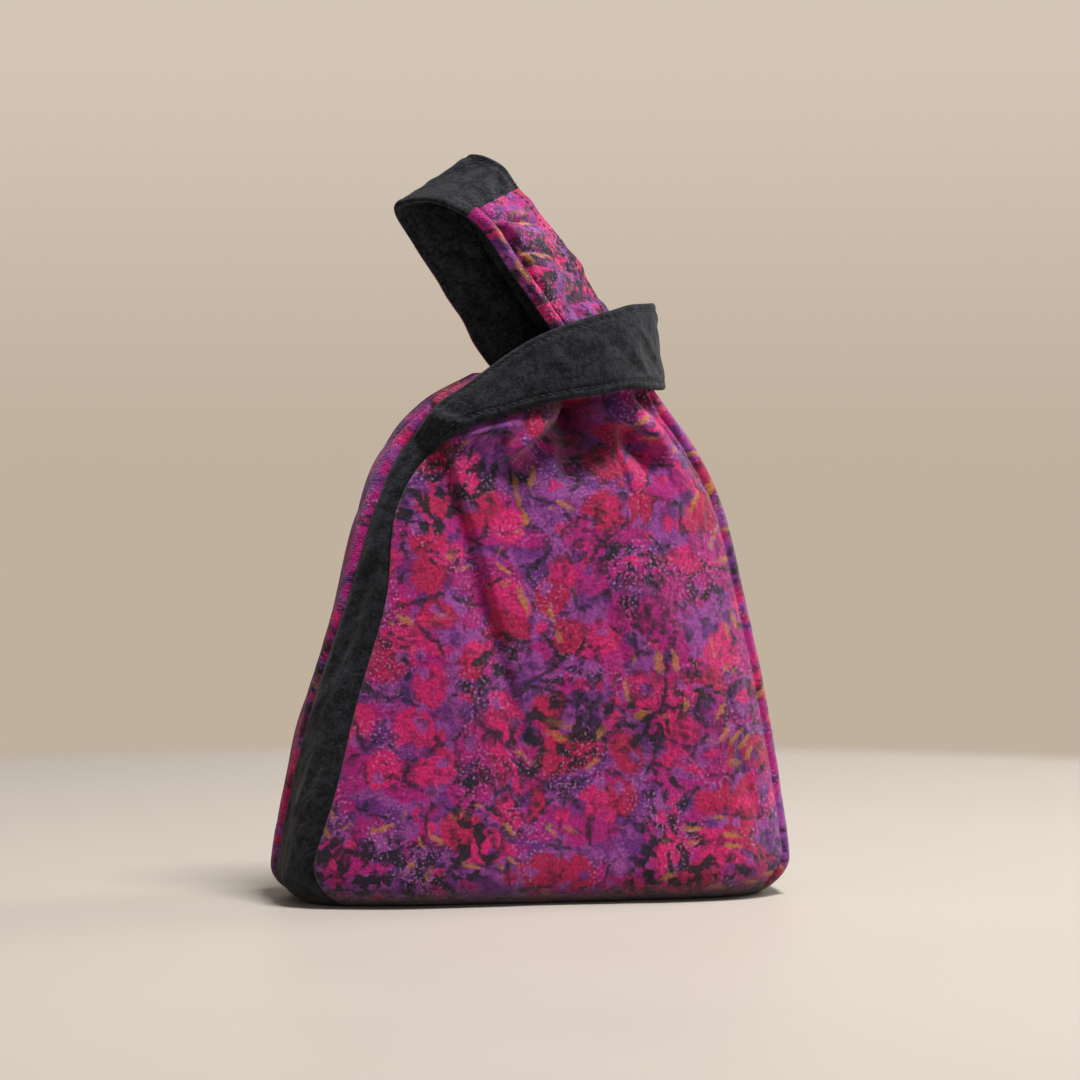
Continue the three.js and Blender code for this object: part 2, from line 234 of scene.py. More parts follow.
LONG_HANDLE = [
    [46, 8, 261, 20, -15, 253, 0],
    [40, 11, 289, 8, -20, 279, 1],
    [20, 12, 323, -14, -23, 309, 2],
    [-4.5, 9, 352.5, -36, -25, 336, 1],
    [-12.5, 9, 363.5, -52, -14, 344, 0],
    [-21, 9, 368.2, -63, 5, 344, 0],
    [-26, 13, 368.8, -66, 11, 342.5, 0],
    [-24, 17, 366.8, -65, 16, 339, 0],
    [-15, 17, 352, -56, 17, 324, 2],
    [4, 14, 323, -37, 16, 295, 4],
    [23, 12, 294, -19, 13.5, 266, 4],
    [32, 12.5, 277, -6, 14.3, 252, 2],
]
CAP_FIRST_ROW = 3
CAP_LAST_ROW = 8
FRONT_RUN = SHORT_HANDLE[:10]
BACK_RUN = SHORT_HANDLE[:11:-1]
front_wrap, back_wrap = (curve_through([[row[0], row[2]] for row in run]) for run in (FRONT_RUN, BACK_RUN))
print("rows: short handle", len(SHORT_HANDLE), "and long handle", len(LONG_HANDLE))

# %% [markdown]
# ## Gathers
# Where the handles pull the mouth shut, the cloth stands up in a few ridges with hollows between them. A
# cloth simulation would find folds of its own, so these are listed one by one: each is a line with its own
# height and widths, whose crest may lean over. Ridges sink under the wrapped handle's lower edge, and hollows
# run on up to the mouth.

# %% Folds
# From and to (x, z), how far it stands out, its width on the left and right, how far its crest leans over.
FRONT_FOLDS = [
    [-19, 238, -44, 225, 6, 6, 4.5, 1],
    [14, 246, -26, 215, 11, 13, 4.8, 3],
    [10, 236, -12, 213, -6, 5, 6, 0],
    [20, 250, 19, 211, -28, 10, 13, 0],
    [19, 254, 19, 228, -12, 12, 14, 0],
    [31, 250, 70, 221, 9, 6, 9, -3],
    [46, 236, 60, 206, -10, 7, 7, 0],
    [54, 249, 85, 205, -6, 2.5, 2.5, 0],
    [-44, 206, -12, 78, -5.5, 13, 2, 0],
]
BACK_FOLDS = [
    [-14, 243, -34, 209, 5, 9, 6, 3],
    [6, 247, 0, 205, -8, 10, 11, 0],
    [28, 247, 34, 207, 6, 9, 7, -3],
    [44, 249, 62, 205, -5, 6, 6, 0],
]
FOLD_WAVER = 2
WAVERS_PER_FOLD = 3
WAVER_SEED = 7
FOLD_FADE = (0.35, 1.3)
RIDGE_SINK = (-6, 7)
HOLLOW_END = (0.95 * H, 0.985 * H)


def fold_height(folds, wrap, x, z, lean=False):
    """How far the cloth stands out, or with lean, how far it shifts sideways and up."""
    over = z - wrap(x)[..., 0]
    total = np.zeros(x.shape + ((2,) if lean else ()))
    for x0, z0, x1, z1, out, wide_left, wide_right, tip in folds:
        ax, az = x1 - x0, z1 - z0
        hx, hz = x - x0, z - z0
        length = math.hypot(ax, az)
        share = (hx * ax + hz * az) / length**2
        aside = (hz * ax - hx * az) / length
        aside = aside + FOLD_WAVER * hills(share * WAVERS_PER_FOLD, out, WAVER_SEED)
        fade = 1 - smoothstep(share, *FOLD_FADE)
        rim = 1 - (smoothstep(over, *RIDGE_SINK) if out > 0 else smoothstep(z, *HOLLOW_END))
        wide = np.where(aside > 0, wide_right, wide_left)
        strength = rim * fade * np.exp(-((aside / wide) ** 2))
        total += tip * strength[..., None] * np.array([-az, ax]) / length if lean else out * strength
    return total


print("folds:", len(FRONT_FOLDS), "in front and", len(BACK_FOLDS), "behind")

# %% [markdown]
# ## The body's surface
# Every panel lies on one lofted surface, so that neighbours meet along their seams. A point is named by its
# share of the way round, from the left side by the front, and its share of the way up. The lower edge is
# rounded, and its corners lift a little off the floor as soft corners do.

# %% Body surface
AROUND = 960
ROUND_SHARE = 0.1
ROW_CROWDING = 1.35
CORNER_LIFT = 7
CORNER_TOP = 0.45


def row_at(v):
    """Height of a row, and how far the rounded lower edge draws it in."""
    turn = np.clip(v / ROUND_SHARE, 0, 1) * np.pi / 2
    share = np.clip((v - ROUND_SHARE) / (1 - ROUND_SHARE), 0, 1)
    wall = EDGE_ROUND + (H - EDGE_ROUND) * (1 - (1 - share) ** ROW_CROWDING)
    height = np.where(v < ROUND_SHARE, EDGE_ROUND * (1 - np.cos(turn)), wall)
    return height, EDGE_ROUND * (1 - np.sin(turn))


def outline_walk(height, inset):
    """A level outline from its left side round by the front, with the cloth walked to each point."""
    shift, wide, deep, square = outline_at(np.array([height]))[0]
    angle = np.pi + 2 * np.pi * np.arange(AROUND + 1) / AROUND
    power = lambda c: np.sign(c) * np.abs(c) ** (2 / square)
    x = shift + (wide - inset) * power(np.cos(angle))
    y = (deep - inset) * power(np.sin(angle))
    walked = np.concatenate([[0], np.cumsum(np.hypot(np.diff(x), np.diff(y)))])
    return x, y, walked


def body(share, v, gathered=True):
    """Points of the outer surface, with or without its folds; share has a row for each v."""
    height, inset = row_at(v)
    points = np.empty(share.shape + (3,))
    for j in range(len(v)):
        x, y, walked = outline_walk(height[j], inset[j])
        at = np.mod(share[j], 2) * walked[AROUND // 2]
        px, py = np.interp(at, walked, x), np.interp(at, walked, y)
        middle = (walked[1:] + walked[:-1]) / 2
        run = unit(np.stack([np.interp(at, middle, np.diff(c) / np.diff(walked)) for c in (x, y)], -1))
        front = fold_height(FRONT_FOLDS, front_wrap, px, height[j])
        back = fold_height(BACK_FOLDS, back_wrap, px, height[j])
        out = gathered * np.abs(run[:, 0]) * np.where(run[:, 0] > 0, front, back)
        corner = (2 * run[:, 0] * run[:, 1]) ** 2
        soft = smoothstep(v[j], 0, ROUND_SHARE) - smoothstep(v[j], ROUND_SHARE, CORNER_TOP)
        points[j, :, 0] = px + run[:, 1] * out
        points[j, :, 1] = py - run[:, 0] * out
        points[j, :, 2] = height[j] + CORNER_LIFT * corner * soft
    return points


print("cloth round the base:", outline_walk(0, 0)[2][-1].round(1), "mm")

# %% Seams


def seams(v):
    """Shares round the body where the panels are sewn, at each row."""
    height, inset = row_at(v)
    half = np.array([outline_walk(h, i)[2][AROUND // 2] for h, i in zip(height, inset)])
    left_front, left_back, right_front, right_back = (reach_at(height) / half[:, None]).T
    return {
        "half": half,
        "left_end": -left_back,
        "left_front": left_front,
        "right_front": 1 - right_front,
        "right_back": 1 + right_back,
        "left_back": 2 - left_back,
    }


def normals(points):
    return unit(np.cross(np.gradient(points, axis=1), np.gradient(points, axis=0)))


print("seams at the base:", {k: round(float(x[0]), 3) for k, x in seams(np.zeros(1)).items()})

# %% [markdown]
# ## Making cloth
# Cloth has two faces and a cut edge. A Solidify modifier could thicken a sheet, but the inner face here often
# goes its own way, so both faces are given as grids of points and joined round the edge. The UV map, called
# cloth, is in millimetres of cloth, so that a weave or a print keeps its true size on every piece.

# %% Cloth meshes
SHARP_ANGLE = math.radians(60)


def make_mesh(name, points, faces, uv):
    mesh = bpy.data.meshes.new(name)
    mesh.from_pydata((points * MM).tolist(), [], faces)
    mesh.polygons.foreach_set("use_smooth", np.ones(len(mesh.polygons), bool))
    corner = np.empty(len(mesh.loops), int)
    mesh.loops.foreach_get("vertex_index", corner)
    mesh.uv_layers.new(name="cloth").data.foreach_set("uv", uv[corner].astype(np.float32).ravel())
    mesh.validate()
    mesh.set_sharp_from_angle(angle=SHARP_ANGLE)
    made = bpy.data.objects.new(name, mesh)
    bpy.context.scene.collection.objects.link(made)
    return made


def grid_faces(rows, columns, start=0, turned=False):
    at = start + np.arange(rows * columns).reshape(rows, columns)
    quads = np.stack([at[:-1, :-1], at[:-1, 1:], at[1:, 1:], at[1:, :-1]], -1).reshape(-1, 4)
    return quads[:, ::-1] if turned else quads


def cloth(name, outer, inner, uv):
    """Closed cloth between two grids of points, both indexed [up, across]."""
    rows, columns = outer.shape[:2]
    count = rows * columns
    at = np.arange(count).reshape(rows, columns)
    rim = np.concatenate([at[0], at[1:, -1], at[-1, -2::-1], at[-2:0:-1, 0]])
    after = np.roll(rim, -1)
    sides = np.stack([rim, rim + count, after + count, after], -1)
    faces = np.concatenate([grid_faces(rows, columns), grid_faces(rows, columns, count, True), sides])
    points = np.concatenate([outer.reshape(-1, 3), inner.reshape(-1, 3)])
    made = make_mesh(name, points, faces.tolist(), np.concatenate([uv.reshape(-1, 2)] * 2))
    print(name, len(made.data.polygons), "faces")
    return made


print("a grid of 3 x 3 points has", len(grid_faces(3, 3)), "faces")

# %% [markdown]
# ## Sewn edges
# Seam allowances turned inside make a sewn edge stand up as a soft roll, the row of stitches beside it sinks
# into a groove, and between stitches the cloth puckers. A bevel would give only the roundness, so each of
# these is a height that depends on the distance from the edge.

# %% Edge heights
ROLL_FULLNESS = 0.7
GROOVE_WIDTH = 1.5
PUCKER = (0.35, 6, 10)
PUCKER_REACH = 8


def seam_roll(edge, roll, high, groove):
    hump = high * np.sin(np.pi * np.clip(edge / roll, 0, 1)) ** ROLL_FULLNESS
    return hump - groove * np.exp(-(((edge - roll) / GROOVE_WIDTH) ** 2))


def turned_edge(edge, deep, radius):
    """How far cloth falls away where it turns over an edge."""
    d = np.clip(edge / radius, 0, 1)
    return -deep * (1 - np.sqrt(1 - (1 - d) ** 2))


def pucker(along, edge, line, seed):
    return rolling(along, edge, *PUCKER, seed) * np.exp(-np.abs(edge - line) / PUCKER_REACH)


print("an edge turned over 2 mm falls", -turned_edge(np.array([0, 1, 2]), 1, 2).round(2))

# %% [markdown]
# ## Stitches
# Thread shows as a row of short bowed beads whose ends sink into the cloth. A bump texture would be lost at
# the outline and in the exported mesh, so each stitch is a small closed mesh, set along a line on the cloth.

# %% Rows of stitches
STITCH_PITCH = 3.6
STITCH_LENGTH = 2.8
STITCH_RADIUS = 0.36
STITCH_LIFT = 0.2
STITCH_BOW = 0.35
STITCH_FLOOR = 3
STITCH_STATIONS = [(-1, 0.05), (-0.75, 0.75), (0, 1), (0.75, 0.75), (1, 0.05)]
STITCH_SIDES = 6


def stitch_row(points, normal):
    """Points of the stitches along a line of points, and how many stitches there are."""
    walked = walk(points)
    count = int(walked[-1] / STITCH_PITCH)
    at = (np.arange(count) + 0.5) * walked[-1] / max(count, 1)
    pick = lambda values, where: np.stack([np.interp(where, walked, values[:, k]) for k in range(3)], -1)
    middle, up = pick(points, at), unit(pick(normal, at))
    run = unit(pick(points, at + 1) - pick(points, at - 1))
    side = unit(np.cross(run, up))
    turn = 2 * np.pi * np.arange(STITCH_SIDES) / STITCH_SIDES
    rings = []
    for along, fat in STITCH_STATIONS:
        centre = middle + run * (along * STITCH_LENGTH / 2) + up * (STITCH_LIFT - STITCH_BOW * along**2)
        spoke = np.cos(turn)[:, None, None] * side + np.sin(turn)[:, None, None] * up
        rings.append(centre + spoke * fat * STITCH_RADIUS)
    made = np.stack(rings).transpose(2, 0, 1, 3)
    return made.reshape(-1, 3), count


def stitches(name, lines):
    points, faces, start = [], [], 0
    each = len(STITCH_STATIONS) * STITCH_SIDES
    for line, normal in lines:
        made, count = stitch_row(line, normal)
        for k in range(count):
            base = start + k * each
            for a in range(len(STITCH_STATIONS) - 1):
                low, high = base + a * STITCH_SIDES, base + (a + 1) * STITCH_SIDES
                for b in range(STITCH_SIDES):
                    c = (b + 1) % STITCH_SIDES
                    faces.append([low + b, high + b, high + c, low + c])
            faces.append([base + b for b in range(STITCH_SIDES)])
            faces.append([base + each - STITCH_SIDES + b for b in reversed(range(STITCH_SIDES))])
        points.append(made)
        start += len(made)
    points = np.concatenate(points)
    print(name, len(points) // each, "stitches")
    return make_mesh(name, points, faces, points[:, [0, 2]])


def trace(points, normal, distance, wanted):
    """The line on a grid [up, across] that runs a wanted distance from an edge."""
    line, up = [], []
    for row, n, d in zip(points, normal, distance):
        if row[:, 2].min() < STITCH_FLOOR:
            continue
        order = np.argsort(d)
        line.append([np.interp(wanted, d[order], row[order, k]) for k in range(3)])
        up.append([np.interp(wanted, d[order], n[order, k]) for k in range(3)])
    return np.array(line), np.array(up)


print("stitches are", STITCH_LENGTH, "mm long, one every", STITCH_PITCH, "mm")

# %% [markdown]
# ## Relief of the panels
# The printed panels sag between their seams, wrinkle at a slant, show fine rays below the mouth, and have a
# rolled and stitched seam on the right. The dark side strips have lumps and long streaks, and their edges dip
# so that the seam reads as a step. All of it could be simulated, but heights over the body's surface are
# quick to make, easy to change and the same on every run.

# %% Gathers and wrinkles
GATHER = (15, 288)
RAY_START = (38, 48)
RAY_END = (55, 165)
RAY_HEIGHT = 3
RAYS_PER_RADIAN = 8
RAY_LENGTH = 120
WRINKLE_HEIGHT = 1.6
WRINKLE_WIDTH = 34
WRINKLE_LENGTH = 110
WRINKLE_SLANT = 0.35
WRINKLE_TURN = 0.4


def gather_rays(x, z, seed):
    """Fine folds that fan out from the gathered mouth."""
    angle = np.arctan2(x - GATHER[0], GATHER[1] - z)
    far = np.hypot(x - GATHER[0], z - GATHER[1])
    strength = smoothstep(far, *RAY_START) * (1 - smoothstep(far, *RAY_END))
    return RAY_HEIGHT * strength * (ridges(angle * RAYS_PER_RADIAN, far / RAY_LENGTH, seed) - 0.5)


def wrinkles(x, z, seed):
    """Long soft wrinkles that hang down the cloth at a slant."""
    across, down = x + WRINKLE_SLANT * z, z - WRINKLE_TURN * x
    ridge = ridges(across / WRINKLE_WIDTH, down / WRINKLE_LENGTH, seed)
    return WRINKLE_HEIGHT * ridge - WRINKLE_HEIGHT / 2


print("rays fan out from", GATHER, "mm")

# %% Panel relief
SEAM_ROLL = 9
SEAM_ROLL_HEIGHT = 1.9
SEAM_GROOVE = 1.6
PANEL_TURN = (1.4, 2.2)
SAG = (2.6, 62, 70)
RIPPLE = (1, 24, 30)
WRINKLE_SHARE = 1.4
CALM_EDGE = (5, 35)
CALM_TOP = (0.88 * H, 0.95 * H)
PLAIN_TOP = (0.93 * H, 0.99 * H)
PLAIN_BASE = (2, 26)
STRIP_LUMPS = (1.3, 11, 19)
STRIP_BUMPS = (0.8, 5, 10)
STRIP_STREAKS = (0.7, 7, 80)
STRIP_CALM = (1, 9)
STRIP_DIP = 1.6
STRIP_DIP_REACH = 2.5


def kept_plain(z, up):
    """Relief dies away at the mouth and round the lower edge."""
    return (1 - smoothstep(z, *PLAIN_TOP)) * smoothstep(up, *PLAIN_BASE)


def printed_detail(points, left, right, up, seed):
    edge = np.minimum(left, right)
    x, z = points[..., 0], points[..., 2]
    calm = smoothstep(edge, *CALM_EDGE) * (1 - smoothstep(z, *CALM_TOP))
    sag = rolling(x, z, *SAG, seed) + rolling(x, z, *RIPPLE, seed + 1)
    sag = sag + WRINKLE_SHARE * wrinkles(x, z, seed + 4)
    roll = seam_roll(right, SEAM_ROLL, SEAM_ROLL_HEIGHT, SEAM_GROOVE) + turned_edge(edge, *PANEL_TURN)
    sewn = roll + pucker(up, right, SEAM_ROLL, seed + 2)
    return kept_plain(z, up) * (calm * (sag + gather_rays(x, z, seed + 3)) + sewn)


def dark_detail(points, left, right, up, seed):
    edge = np.minimum(left, right)
    across = (left - right) / 2
    lumps = rolling(across, up, *STRIP_LUMPS, seed) + rolling(across, up, *STRIP_BUMPS, seed + 1)
    streaks = rolling(across, up, *STRIP_STREAKS, seed + 2)
    dip = STRIP_DIP * np.exp(-edge / STRIP_DIP_REACH)
    return kept_plain(points[..., 2], up) * (smoothstep(edge, *STRIP_CALM) * (lumps + streaks) - dip)


print("seam rolls are", SEAM_ROLL, "mm wide")

# %% [markdown]
# ## Spreading cloth flat
# A print is made on flat cloth and bends with it. Projecting it from the front would smear it at the
# sides, so each panel is spread flat first: a coarse net of its points, taken without the gathers, is relaxed
# until neighbours are as far apart as they are on the bag.

# %% Flat cloth
FLAT_GRID = 44
FLAT_TURNS = 1500
FLAT_PULL = 0.24


def spread_flat(points, flat):
    """The sheet spread flat, in mm, from a first guess."""
    tall, wide = points.shape[:2]
    rows, columns = (np.unique(np.linspace(0, n - 1, FLAT_GRID).round().astype(int)) for n in (tall, wide))
    coarse = points[np.ix_(rows, columns)]
    at = flat[np.ix_(rows, columns)]
    here, back, every = slice(1, None), slice(None, -1), slice(None)
    ties = [((here, every), (back, every)), ((every, here), (every, back))]
    ties += [((here, here), (back, back)), ((here, back), (back, here))]
    lengths = [np.linalg.norm(coarse[a] - coarse[b], axis=-1) for a, b in ties]
    for _ in range(FLAT_TURNS):
        move = np.zeros_like(at)
        for (a, b), length in zip(ties, lengths):
            gap = at[a] - at[b]
            pull = gap * (1 - length / np.maximum(np.linalg.norm(gap, axis=-1), 0.01))[..., None] / 2
            move[a] -= pull
            move[b] += pull
        at = at + FLAT_PULL * move

    def fill(values, known, count):
        """Straight steps between the known rows of a table."""
        return np.array([np.interp(np.arange(count), known, line) for line in values.T]).T

    parts = [fill(fill(at[..., k], rows, tall).T, columns, wide).T for k in range(2)]
    return np.stack(parts, -1)


print("cloth is spread flat from a net of", FLAT_GRID, "x", FLAT_GRID, "points")

# %% [markdown]
# ## The four panels
# The front and the back are printed, and a dark strip is let in at each side. One mesh with four materials
# would do for a render, but on the bag they are four pieces sewn together, so each is cloth of its own that
# runs from seam to seam. Both printed panels get their stitches along the rolled seam.

# %% Panels
PANEL_ROWS = 190
PANEL_CROWDING = 0.55
PRINT_SHIFT = 53


def panel(name, start, end, columns, detail, seed):
    v = np.linspace(0, 1, PANEL_ROWS)
    at = seams(v)
    half = at["half"][:, None]
    u = crowded(columns, PANEL_CROWDING)[None, :]
    first = at[start][:, None] + SEAM_GAP / 2 / half
    last = at[end][:, None] - SEAM_GAP / 2 / half
    share = first + (last - first) * u
    points = body(share, v)
    folds, wrap = (FRONT_FOLDS, front_wrap) if start == "left_front" else (BACK_FOLDS, back_wrap)
    if detail is printed_detail:
        points[..., [0, 2]] += fold_height(folds, wrap, points[..., 0], points[..., 2], True)
    normal = normals(points)
    width = (last - first) * half
    left, right = u * width, (1 - u) * width
    up = walk(points[:, columns // 2])[:, None] + 0 * left
    outer = points + normal * detail(points, left, right, up, seed)[..., None]
    outer[..., 2] = np.maximum(outer[..., 2], 0)
    uv = spread_flat(body(share, v, False), np.stack([(left - right) / 2, up], -1)) + PRINT_SHIFT * seed
    return cloth(name, outer, outer - normal * OUTER_CLOTH, uv), (outer, normal, right)


front, front_sewn = panel("front_cloth", "left_front", "right_front", 190, printed_detail, 11)
back, back_sewn = panel("back_cloth", "right_back", "left_back", 170, printed_detail, 23)
left_side, _ = panel("left_side_cloth", "left_end", "left_front", 60, dark_detail, 37)
right_side, _ = panel("right_side_cloth", "right_front", "right_back", 60, dark_detail, 41)
panel_seams = stitches("panel_stitches", [trace(*sewn, SEAM_ROLL) for sewn in (front_sewn, back_sewn)])

# %% [markdown]
# ## Lining
# Inside hangs a second, plain bag, a little smaller and loosely crumpled, sewn to the outer one at the rim. A
# shrunken copy of the panels would do, but a lining is usually sewn without side strips, so it is one closed
# skin of rings: the body's surface again, one layer further in, and closed across the bottom.

# %% Lining
LINING_ROWS = 90
LINING_COLUMNS = 200
LINING_EASE = 2.5
RIM_EASE = 0.8
RIM_FROM = 0.93
CRUMPLE = 0.9
CRUMPLE_OUT = 0.8
CRUMPLES = (20, 9)
CRUMPLE_SEED = 53
CRUMPLE_START = (0.12, 0.3)
CRUMPLE_END = (0.85, 0.95)
RING_SLANT = 0.7


def rings_mesh(name, layers, middles):
    """A closed skin from two stacks of rings [up, round], each closed at its first ring by a middle point."""
    rows, around = layers[0].shape[:2]
    points = np.concatenate([*(layer.reshape(-1, 3) for layer in layers), np.array(middles)])
    turned = np.roll(np.arange(around), -1)
    faces = []
    for side in (0, 1):
        at = side * rows * around + np.arange(rows * around).reshape(rows, around)
        quads = np.stack([at[:-1], at[:-1][:, turned], at[1:][:, turned], at[1:]], -1).reshape(-1, 4)
        tips = np.stack([np.full(around, 2 * rows * around + side), at[0][turned], at[0]], -1)
        faces += (quads[:, ::-1] if side else quads).tolist() + (tips[:, ::-1] if side else tips).tolist()
    top = (rows - 1) * around + np.arange(around)
    under = top + rows * around
    faces += np.stack([top, top[turned], under[turned], under], -1).tolist()
    made = make_mesh(name, points, faces, points[:, [0, 2]] + points[:, [1, 1]] * RING_SLANT)
    print(name, len(made.data.polygons), "faces")
    return made


v = np.linspace(0, 1, LINING_ROWS)
share = np.repeat((2 * np.arange(LINING_COLUMNS) / LINING_COLUMNS)[None, :], LINING_ROWS, 0)
shell = body(share, v)
wrapped = np.concatenate([shell[:, -1:], shell, shell[:, :1]], 1)
inward = normals(wrapped)[:, 1:-1]
slack = SEAM_GAP + (LINING_EASE - SEAM_GAP) * smoothstep(v, 0, ROUND_SHARE)
slack = slack + (RIM_EASE - slack) * smoothstep(v, RIM_FROM, 1)
loose = smoothstep(v, *CRUMPLE_START) - smoothstep(v, *CRUMPLE_END)
crumple = CRUMPLE * hills(share * CRUMPLES[0], v[:, None] * CRUMPLES[1], CRUMPLE_SEED) * loose[:, None]
depth = (OUTER_CLOTH + slack)[:, None] + np.maximum(crumple, -CRUMPLE_OUT)
layers = [shell - inward * (depth + extra)[..., None] for extra in (0, LINING_CLOTH)]
floor_at = OUTER_CLOTH + SEAM_GAP
lining = rings_mesh("lining_cloth", layers, [[0, 0, floor_at], [0, 0, floor_at + LINING_CLOTH]])

# %% [markdown]
# ## Base
# The bag stands on a flat printed bottom, sewn in where the lower edge rounds under. One face would do, since
# it is hardly seen, but a net of rings keeps its cut edge on the body's own outline and gives it thickness.

# %% Base
BASE_RINGS = 24
BASE_SKIP = 6

x, y, _ = outline_walk(0, EDGE_ROUND + SEAM_GAP)
ring_share = np.linspace(1, 0, BASE_RINGS, endpoint=False)[::-1, None]
pick = np.arange(0, AROUND, BASE_SKIP)
low = np.stack([x[pick] * ring_share, y[pick] * ring_share, np.zeros((BASE_RINGS, len(pick)))], -1)
base = rings_mesh("base_cloth", [low, low + [0, 0, OUTER_CLOTH]], [[0, 0, 0], [0, 0, OUTER_CLOTH]])

# %% [markdown]
# ## Straps
# A strap is two layers of cloth sewn back to back: outside cloth and lining. Here it is ruled between its two
# edges and bows out a little between them, and its edges waver as hand-sewn ones do. Both layers are raised
# from the same middle surface, so they can't cross. A curve with a bevel would not let the two faces differ.

# %% Strap surface
STRAP_COLUMNS = 72
STRAP_CROWDING = 0.5
EDGE_WAVER = 0.7
EDGE_WAVER_LENGTH = 13
RIGHT_WAVER_SEED = 101
LEFT_WAVER_SEED = 102


def strap_grid(rows, first, last, step):
    """Points [across, along] of a strap's middle surface from one row to another, and their normals."""
    rows = np.array(rows, float)
    where = walk((rows[:, :3] + rows[:, 3:6]) / 2)
    edges = curve_through(np.column_stack([where, rows]))
    start = where[first] + (SEAM_GAP / 2 if first else 0)
    end = where[last] - (SEAM_GAP / 2 if last < len(rows) - 1 else 0)
    t = np.linspace(start, end, int((end - start) / step))
    u = crowded(STRAP_COLUMNS, STRAP_CROWDING)[:, None]
    row = edges(t)
    right, left, bow = row[:, :3], row[:, 3:6], row[:, 6]
    across = unit(left - right)
    waver = lambda seed: across * EDGE_WAVER * hills(t / EDGE_WAVER_LENGTH, 0.5, seed)[:, None]
    right, left = right + waver(RIGHT_WAVER_SEED), left + waver(LEFT_WAVER_SEED)
    ends = edges(t + 0.5) - edges(t - 0.5)
    out = unit(np.cross(ends[:, :3] + ends[:, 3:6], left - right))
    points = right * (1 - u[..., None]) + left * u[..., None] + out * (bow * 4 * u * (1 - u))[..., None]
    width = np.linalg.norm(left - right, axis=1)[None, :]
    return points, normals(points), u * width, (1 - u) * width, t[None, :] + 0 * u


print("straps are", STRAP_COLUMNS, "points wide")

# %% Strap cloth
STRAP_SHIFT = 690
PRINT_STRETCH = 1.4
TURN_SHARE = 0.8
TURN_RADIUS = 3
LEAST_HEIGHT = 0.4
LEAST_CLOTH = 0.15


def strap(name, rows, first, last, side, detail, step=1.3):
    """side 1 is the outer cloth, side -1 the lining."""
    points, normal, right, left, along = strap_grid(rows, first, last, step)
    thick = OUTER_CLOTH if side > 0 else LINING_CLOTH
    bump = detail(right, left, along)
    bump = bump + turned_edge(np.minimum(left, right), thick * TURN_SHARE, TURN_RADIUS)
    high = np.maximum(SEAM_GAP / 2 + thick + bump, SEAM_GAP / 2 + LEAST_HEIGHT)[..., None]
    low = np.full_like(high, SEAM_GAP / 2)
    low = np.minimum(low + np.maximum(high - thick - low, 0), high - LEAST_CLOTH)
    shown = points + side * normal * high
    run = np.linalg.norm(np.diff(shown, axis=0), axis=-1)
    across = np.cumsum(np.minimum(run, PRINT_STRETCH * np.diff(right, axis=0)), axis=0)
    across = np.concatenate([0 * across[:1], across]) - across[-1] / 2
    uv = np.stack([along + 0 * across, across], -1) + STRAP_SHIFT
    hidden = points + side * normal * low
    made = cloth(name, shown, hidden, uv) if side > 0 else cloth(name, hidden, shown, uv)
    return made, (shown, side * normal, right, left)


print("strap cloth is never thinner than", LEAST_CLOTH, "mm")

# %% [markdown]
# ## Relief of the straps
# The loop's print is ruched: one edge is rolled, and from there the cloth puffs up in tucks towards the
# other. The dark straps are plainer, with soft wrinkles, a sunk line of stitches by each edge and diagonal
# creases where they are pulled. Each finish is a function of the distance to both edges and along the strap,
# which keeps the relief running with the strap through its turns, as a world-space texture would not.

# %% Ruched print
STRAP_ROLL = 8
STRAP_ROLL_HEIGHT = 2.4
STRAP_GROOVE = 1.8
TUCK_START = (STRAP_ROLL, STRAP_ROLL + 5)
TUCK_END = (0, 4)
TUCK_HEIGHT = 6.2
TUCK_SINK = 1.1
TUCK_PITCH = 15
TUCK_WIDTH = 34
TUCK_SLANT = 0.4
TUCK_FADE = 14
PUFFS = (1.2, 7, 9)
PUFF_SEED = 61


def puffed(right, left, along):
    """Print with one rolled edge, ruched over to the other."""
    inside = smoothstep(left, *TUCK_START) * smoothstep(right, *TUCK_END)
    tuck = ridges((along + TUCK_SLANT * left) / TUCK_PITCH, right / TUCK_WIDTH, PUFF_SEED + 2, 0.01)
    small = rolling(along, right, *PUFFS, PUFF_SEED)
    roll = seam_roll(left, STRAP_ROLL, STRAP_ROLL_HEIGHT, STRAP_GROOVE)
    from_start, from_end = along - along.min(), along.max() - along
    inside = inside * smoothstep(from_start, 0, TUCK_FADE) * smoothstep(from_end, 0, TUCK_FADE)
    puckers = pucker(along, left, STRAP_ROLL, PUFF_SEED + 1)
    return roll + inside * (TUCK_HEIGHT * tuck - TUCK_SINK + small) + puckers


print("tucks stand up to", TUCK_HEIGHT - TUCK_SINK, "mm")

# %% Plain and creased cloth
HEM = 4
HEM_SINK = 0.5
HEM_WIDTH = 1.1
PLAIN_EDGE = (1, 8)
PLAIN_WRINKLE = 0.5
LONG_WAVES = (1, 30, 20)
SHORT_WAVES = (0.6, 10, 9)
CREASE_EDGE = (3, 10)
CREASE_SLANT = 0.8
CREASE_PITCH = 6
CREASE_LENGTH = 26


def flat_cloth(seed):
    """Plain cloth with soft wrinkles and a sunk line of stitches beside each edge."""

    def detail(right, left, along):
        edge = np.minimum(right, left)
        waves = rolling(along, right, *LONG_WAVES, seed) + rolling(along, right, *SHORT_WAVES, seed + 1)
        hem = HEM_SINK * np.exp(-(((edge - HEM) / HEM_WIDTH) ** 2))
        return smoothstep(edge, *PLAIN_EDGE) * PLAIN_WRINKLE * waves - hem

    return detail


